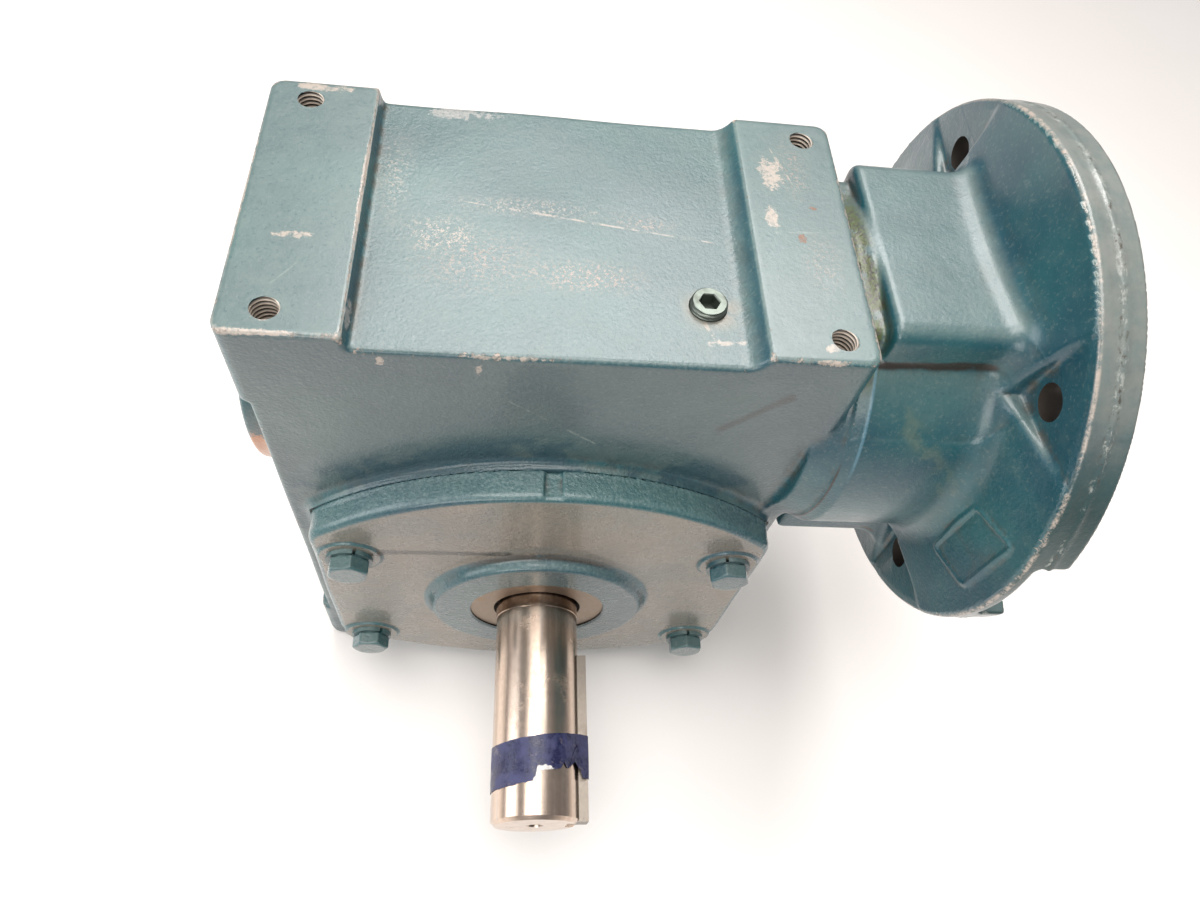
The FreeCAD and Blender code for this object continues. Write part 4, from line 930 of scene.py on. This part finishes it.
def housing_cutters():
    """Cored and machined spaces as closed solids; those in one group don't touch each other."""
    # profiles are (radius, place along the axis); grooves in them hold snap rings
    worm = (0.0, 0.0, WORM_Z)
    floor_x = FLANGE_FACE - REGISTER_DEEP
    end_bore = turned([(36.0, -118.0), (36.0, -109.4), (38.0, -109.4), (38.0, -107.5), (36.0, -107.5),
                       (36.0, -90.4), (31.0, -90.4), (31.0, -60.0)], "+x", worm)
    motor_bore = turned([(36.0, 60.0), (36.0, 114.0), (42.5, 114.0), (42.5, 133.3), (44.7, 133.3),
                         (44.7, 135.5), (42.5, 135.5), (42.5, 150.0), (58.0, 150.0), (76.9, floor_x),
                         (REGISTER_R, floor_x), (REGISTER_R, FLANGE_FACE - 0.8),
                         (REGISTER_R + 0.8, FLANGE_FACE), (REGISTER_R + 2.8, FLANGE_FACE + 2.0)],
                        "+x", worm, 192)
    chamber = make_box((LEFT + 12.0, -HALF + 12.0, 14.0), (RIGHT - 12.0, HALF - 12.0, TOP - 15.4))
    opening = turned([(79.0, -80.0), (79.0, 80.0)], "-y", (OUT_X, 0, OUT_Z), 160)
    holes = []
    for i in range(4):
        turn = math.radians(45 + 90 * i)
        at = (0, SCREW_CIRCLE_R * math.cos(turn), WORM_Z + SCREW_CIRCLE_R * math.sin(turn))
        holes.append(turned([(SCREW_R, FLANGE_BACK - 14.0), (SCREW_R, floor_x + 1.0)], "+x", at, 48))
    # threaded rods: place, radius, depth and pitch of the thread, start and end
    for sx in (-1, 1):
        for sy in (-1, 1):
            holes.append(screw("+z", (sx * FOOT_X, sy * FOOT_Y, TOP), 5.35, 0.75, 1.81, -22.0, 1.0))
            holes.append(screw("-z", (sx * FOOT_X, sy * FOOT_Y, 0), 5.66, 0.75, 1.95, -22.0, 1.0))
    for u, v in COVER_BOLTS:
        for axis in ("-y", "+y"):
            holes.append(screw(axis, (OUT_X + u, 0, OUT_Z + v), 5.9, 0.5, 1.8, 43.5, LEDGE + 1.0, 32))
    for lo, hi in ((PLUG_LO, PLUG_HI), (DRAIN_LO, DRAIN_HI)):
        x, y, z = (lo + hi) / 2
        level, axis = (TOP - STRIP_DEPTH, "+z") if z > OUT_Z else (STRIP_DEPTH, "-z")
        holes.append(turned([(6.95, -30.0), (6.95, 2.0)], axis, (x, y, level), 48))
    return [joined([end_bore, motor_bore]), chamber, opening, joined(holes)]


def make_box(lo, hi):
    x0, y0, z0 = lo
    x1, y1, z1 = hi
    points = np.array([(x, y, z) for x in (x0, x1) for y in (y0, y1) for z in (z0, z1)], float)
    faces = [[0, 1, 3, 2], [4, 6, 7, 5], [0, 4, 5, 1], [2, 3, 7, 6], [0, 2, 6, 4], [1, 5, 7, 3]]
    return points, faces


def mark_threads(obj):
    """1 on the crests of the foot threads, 0 in their grooves, low in the flange's screw holes, 0.5 on
    everything else.
    """
    x, y, z = points_of(obj).T
    r = np.hypot(np.abs(x) - FOOT_X, np.abs(y) - FOOT_Y)
    crest = np.where(r < 6.5, np.clip((5.30 - r) / 0.6, 0, 1), 0.5)
    side = SCREW_CIRCLE_R * math.sqrt(0.5)
    screw_hole = np.hypot(np.abs(y) - side, np.abs(z - WORM_Z) - side) < SCREW_R + 0.5
    # painted shade: the walls of the flange's screw holes get a low value, so the machined material paints
    # them nearly black
    crest = np.where(screw_hole & (x > NECK_X), 0.12, crest)
    mark(obj, "crest", crest)


def housing_calm(x, y, z):
    """Edges that nothing has knocked keep their paint: the ledges and the flange face."""
    calm = np.where(np.abs(y) > LEDGE - 2.0, 0.15, 1.0) * np.where(x > FLANGE_FACE - 3.0, 0.55, 1.0)
    return np.where((x > NECK_X - 2) & (x < FLANGE_BACK - 1.5), 0.35, calm) * np.where(x < -110, 0.7, 1.0)


def build_housing():
    points, faces = surface_net(housing_field, CASE_LO - 1, CASE_HI + 1, CASE_PITCH)
    casting = make_object("housing_casting", points, faces)
    thin_out(casting, FACE_LIMIT)
    for tool in housing_cutters():
        combine(casting, tool, "DIFFERENCE")
    mark_form(casting, housing_field, calm=housing_calm)
    slots_by_skin(casting, housing_field, MATERIALS["case_paint"], MACHINED)
    mark_threads(casting)
    shade(casting)
    smooth_skin(casting, housing_field)
    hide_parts("housing")
    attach(casting, "gear_case")


build_housing()


# ---- covers ----

def build_cover(name, node, axis, boss_face, sealed):
    """Cover on the side its axis points to; a sealed one has no bore through it."""
    sign = -1.0 if axis == "-y" else 1.0

    def field(x, y, z):
        return cover_field(x, sign * y, z, boss_face)

    y_lo, y_hi = sorted((sign * (PLATE_BACK - 1), sign * (boss_face + 1)))
    lo = (OUT_X - COVER_HALF - 1, y_lo, OUT_Z - ARC_LOW - 1)
    hi = (OUT_X + COVER_HALF + 1, y_hi, OUT_Z + ARC_TOP + 1)
    cover = make_object(name, *surface_net(field, lo, hi, 1.0))
    centre = (OUT_X, 0, OUT_Z)
    spigot = turned([(52.0, 41.0), (52.0, 57.0), (77.4, 57.0), (78.9, 58.5), (78.9, PLATE_BACK + 3)],
                    axis, centre, 160)
    combine(cover, spigot, "UNION")
    bore = [(41.275, 40.0), (41.275, 66.6)]
    if not sealed:
        bore += [(24.5, 66.6), (24.5, 72.4), (31.75, 72.4), (31.75, boss_face - 0.8),
                 (33.0, boss_face + 0.6), (33.0, boss_face + 3)]
    cuts = [turned(bore, axis, centre, 128)]
    for u, v in COVER_BOLTS:
        cuts.append(turned([(6.0, 50.0), (6.0, 90.0)], axis, (OUT_X + u, 0, OUT_Z + v), 32))
    combine(cover, joined(cuts), "DIFFERENCE")
    mark_form(cover, field, calm=lambda x, y, z: np.where(np.abs(y) > PLATE_FACE + 0.3, 0.35, 0.5))
    slots_by_skin(cover, field, MATERIALS["cover_paint"], MACHINED)
    shade(cover)
    smooth_skin(cover, field)
    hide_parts(node)
    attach(cover, "gear_case")


build_cover("output_cover_casting", "output_cover", "-y", COVER_BOSS_FACE, False)
build_cover("rear_cover_casting", "rear_cover", "+y", REAR_BOSS_FACE, True)


# ---- cover bolts ----

def build_bolts(name, node, axis):
    points, faces = surface_net(hex_head_field, (-10, -10, -1), (10, 10, 8), 0.42)
    head = make_object("head", points, faces)
    mark_form(head, hex_head_field, 0.6)
    edge = read(head.data.attributes["edge"].data, "value")
    bpy.data.objects.remove(head)
    shank_points, shank_faces = threaded(5.5, 0.6, 1.8, -36.0, 0.3, 32)
    plain = np.zeros(len(shank_points))
    parts, marks = [], []
    for i, (u, v) in enumerate(COVER_BOLTS):
        c, s = math.cos(math.radians(17.0 * i)), math.sin(math.radians(17.0 * i))
        spin = np.array([[c, -s, 0], [s, c, 0], [0, 0, 1]])
        for p, f, m in ((points, faces.tolist(), edge), (shank_points, shank_faces, plain)):
            local = p @ spin.T + np.array([0, 0, BOLT_SEAT])
            parts.append((facing(local, axis, (OUT_X + u, 0, OUT_Z + v)), f))
            marks.append(m)
    bolts = make_object(name, *joined(parts))
    mark(bolts, "edge", np.concatenate(marks) * 0.6)
    mark(bolts, "corner", np.zeros(len(bolts.data.vertices)))
    bolts.data.materials.append(MATERIALS["painted_bolt"])
    shade(bolts, 50.0)
    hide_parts(node)
    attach(bolts, "gear_case")


build_bolts("cover_bolts_front_hex", "cover_bolts_front", "-y")
build_bolts("cover_bolts_rear_hex", "cover_bolts_rear", "+y")


# ---- oil plugs ----

def build_plug(name, node, lo, hi, axis):
    """Headless plug, threaded all along, with a hexagon socket in its outer end."""
    x, y, _ = (lo + hi) / 2
    face = hi[2] if axis == "+z" else -lo[2]
    radius = (hi[0] - lo[0]) / 2 + 0.3
    start = face - (hi[2] - lo[2])
    plug = make_object(name, *screw(axis, (x, y, 0), radius, 0.75, 1.45, start, face, 64, 0.7))
    socket = turned([(3.67, face - 5.0), (3.67, face - 0.5), (4.1, face + 0.1), (4.1, face + 2)],
                    axis, (x, y, 0), 6)
    combine(plug, socket, "DIFFERENCE")
    plug.data.materials.clear()
    plug.data.materials.append(MATERIALS["zinc_steel"])
    shade(plug, 30.0)
    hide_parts(node)
    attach(plug, "gear_case")


build_plug("fill_plug_threaded", "fill_plug", PLUG_LO, PLUG_HI, "+z")
build_plug("drain_plug_threaded", "drain_plug", DRAIN_LO, DRAIN_HI, "-z")


# ---- tape on the shaft ----

TAPE_EDGE = -145.7                # middle line of the edge nearer the shaft's end, along Y
TAPE_SLANT = 2.5                  # how far that edge swings from square to the shaft
TAPE_WIDE = 18.2
TORN_FROM, TORN_TO = 20, 93       # torn stretch of the other edge, degrees round from the key
TORN_DEEP = 3.6


def tape_edges(degrees):
    """Both edges of the tape: wound a little askew, with its loose end torn off in bites."""
    top = TAPE_EDGE + TAPE_SLANT * np.cos(np.radians(degrees + 10))
    strip = np.clip((degrees - TORN_FROM) / 4, 0, 1) * np.clip((TORN_TO - degrees) / 2, 0, 1)
    bites = sum(np.clip(1 - np.abs(degrees - at) / half, 0, 1) for at, half in ((35, 10), (55, 6)))
    return top, top - TAPE_WIDE + TORN_DEEP * (strip + 0.8 * bites)


def wrap_radius(turn):
    """Tight wrap round the shaft and over its key; turn is measured from the key."""
    key_lo, key_hi = node_box("output_key")
    high, side = key_hi[0] - OUT_X, (key_hi[2] - key_lo[2]) / 2
    corner = math.atan2(side, high)
    touch = corner + math.acos(SHAFT_R / math.hypot(high, side))
    t = np.abs(turn)
    flat = high / np.cos(np.minimum(t, corner))
    slant = SHAFT_R / np.cos(np.clip(touch - t, 0, touch))
    return np.where(t < corner, flat, np.where(t < touch, slant, SHAFT_R))


def smooth_noise(count, knots):
    """Closed random wave, about -1 to 1."""
    levels = rng.uniform(-1, 1, knots)
    at = np.linspace(0, knots, count, endpoint=False)
    low = np.floor(at).astype(int)
    t = at - low
    t = t * t * (3 - 2 * t)
    return levels[low % knots] * (1 - t) + levels[(low + 1) % knots] * t


def rims(faces, offset):
    """Faces that join the open rims of two matching skins whose points are offset apart."""
    edges = dict.fromkeys((a, b) for face in faces for a, b in zip(face, face[1:] + face[:1]))
    return [[b, a, a - offset, b - offset] for a, b in edges if (b, a) not in edges and a >= offset]


def build_tape():
    turns, rows = 420, 40
    degrees = np.linspace(-180, 180, turns, endpoint=False)
    turn = np.radians(degrees)
    top, low = tape_edges(degrees)
    top = top + 0.12 * smooth_noise(turns, 60)
    low = low + 0.22 * smooth_noise(turns, 150)
    share = np.linspace(0, 1, rows)[:, None]
    y = top + (low - top) * share
    torn = np.clip(1 - np.abs(degrees - 60) / 40, 0, 1)
    lift = 0.10 * (1 + smooth_noise(turns, 34)) * (0.4 + 0.6 * np.sin(math.pi * share))
    lift = lift + 0.5 * torn * np.clip(share - 0.86, 0, 1) / 0.14 * (0.4 + 0.6 * smooth_noise(turns, 90))
    base = wrap_radius(turn)
    points, faces = [], []
    for level in (0.08, 0.30):    # inner and outer skin of the tape
        r = base + level + np.maximum(lift, 0)
        points.append(np.stack([OUT_X + r * np.cos(turn), y, OUT_Z + r * np.sin(turn)], -1).reshape(-1, 3))
    outer = rows * turns
    for k, i in np.ndindex(rows - 1, turns):
        if k > 14 and abs(degrees[i] - (30 + 0.62 * (k - 14))) < 0.7:
            continue              # a slanting slit up from the torn edge
        j = (i + 1) % turns
        quad = [k * turns + i, k * turns + j, (k + 1) * turns + j, (k + 1) * turns + i]
        faces += [[outer + v for v in quad], quad[::-1]]
    tape = make_object("tape_wrap", np.concatenate(points), faces + rims(faces, outer))
    x, yy, z = points_of(tape).T
    t = np.degrees(np.arctan2(z - OUT_Z, x - OUT_X))
    near = np.clip(1.3 - np.abs(yy - tape_edges(t)[1]) / 2.6, 0, 1)
    mark(tape, "torn", near * np.clip(1.3 - np.abs(t - 84) / 16, 0, 1))
    tape.data.materials.append(MATERIALS["tape"])
    shade(tape, 60.0)
    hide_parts("shaft_tape")
    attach(tape, "output")


build_tape()


# ---- floor, light, camera ----

def floor_material():
    g = Graph("pale_table")
    smudge = g.noise(420.0, 3.0, 0.5)
    color = g.mix(g.step(smudge, 0.35, 0.7), (0.90, 0.85, 0.81), (0.94, 0.905, 0.875))
    g.bump((g.noise(3.0, 2.0, 0.5), 0.02))
    return g.finish(color, 0.35)


floor_points, floor_faces = make_box((-3000, -3000, -10.0), (3000, 3000, -0.02))
floor = make_object("table_top", floor_points, floor_faces)
floor.data.materials.append(floor_material())


def area_light(name, place, target, size, power, color):
    data = bpy.data.lights.new(name, "AREA")
    data.shape, data.size, data.size_y = "RECTANGLE", size[0], size[1]
    data.energy, data.color, data.spread = power, color, math.radians(110)
    lamp = bpy.data.objects.new(name, data)
    lamp.location = place
    lamp.rotation_euler = (Vector(target) - Vector(place)).to_track_quat("-Z", "Y").to_euler()
    bpy.context.scene.collection.objects.link(lamp)


area_light("window", (0.25, 1.10, 2.05), (0.0, 0, 0.27), (1.5, 1.1), 15.0, (1.0, 0.985, 0.97))
area_light("ceiling", (-0.25, -0.15, 2.5), (0.0, 0, 0.1), (1.7, 1.5), 17.0, (1.0, 0.97, 0.94))
area_light("front_fill", (-0.7, -1.9, 1.0), (0.0, 0, 0.1), (1.4, 0.8), 6.0, (1.0, 0.965, 0.93))
area_light("left_fill", (-1.8, -0.2, 0.9), (0, 0, 0.15), (1.2, 1.2), 6.0, (0.97, 0.98, 1.0))
world = bpy.data.worlds.new("studio")
world.use_nodes = True
world.node_tree.nodes["Background"].inputs[0].default_value = (0.97, 0.97, 1.0, 1.0)
world.node_tree.nodes["Background"].inputs[1].default_value = 0.30
bpy.context.scene.world = world
bpy.context.scene.view_settings.view_transform = "Standard"

camera_data = bpy.data.cameras.new("camera")
camera = bpy.data.objects.new("camera", camera_data)
camera_data.lens, camera_data.sensor_width = 26.02, 36.0
camera_data.shift_x, camera_data.shift_y = -0.0023, -0.0121
camera_data.clip_start = 0.01
right, up, back = (0.9916, -0.0309, 0.1258), (-0.0398, 0.8513, 0.5232), (-0.1233, -0.5238, 0.8429)
turn = Matrix((right, up, back)).transposed()
camera.matrix_world = Matrix.Translation((-0.02182, -0.23198, 0.50239)) @ turn.to_4x4()
bpy.context.scene.collection.objects.link(camera)
bpy.context.scene.camera = camera
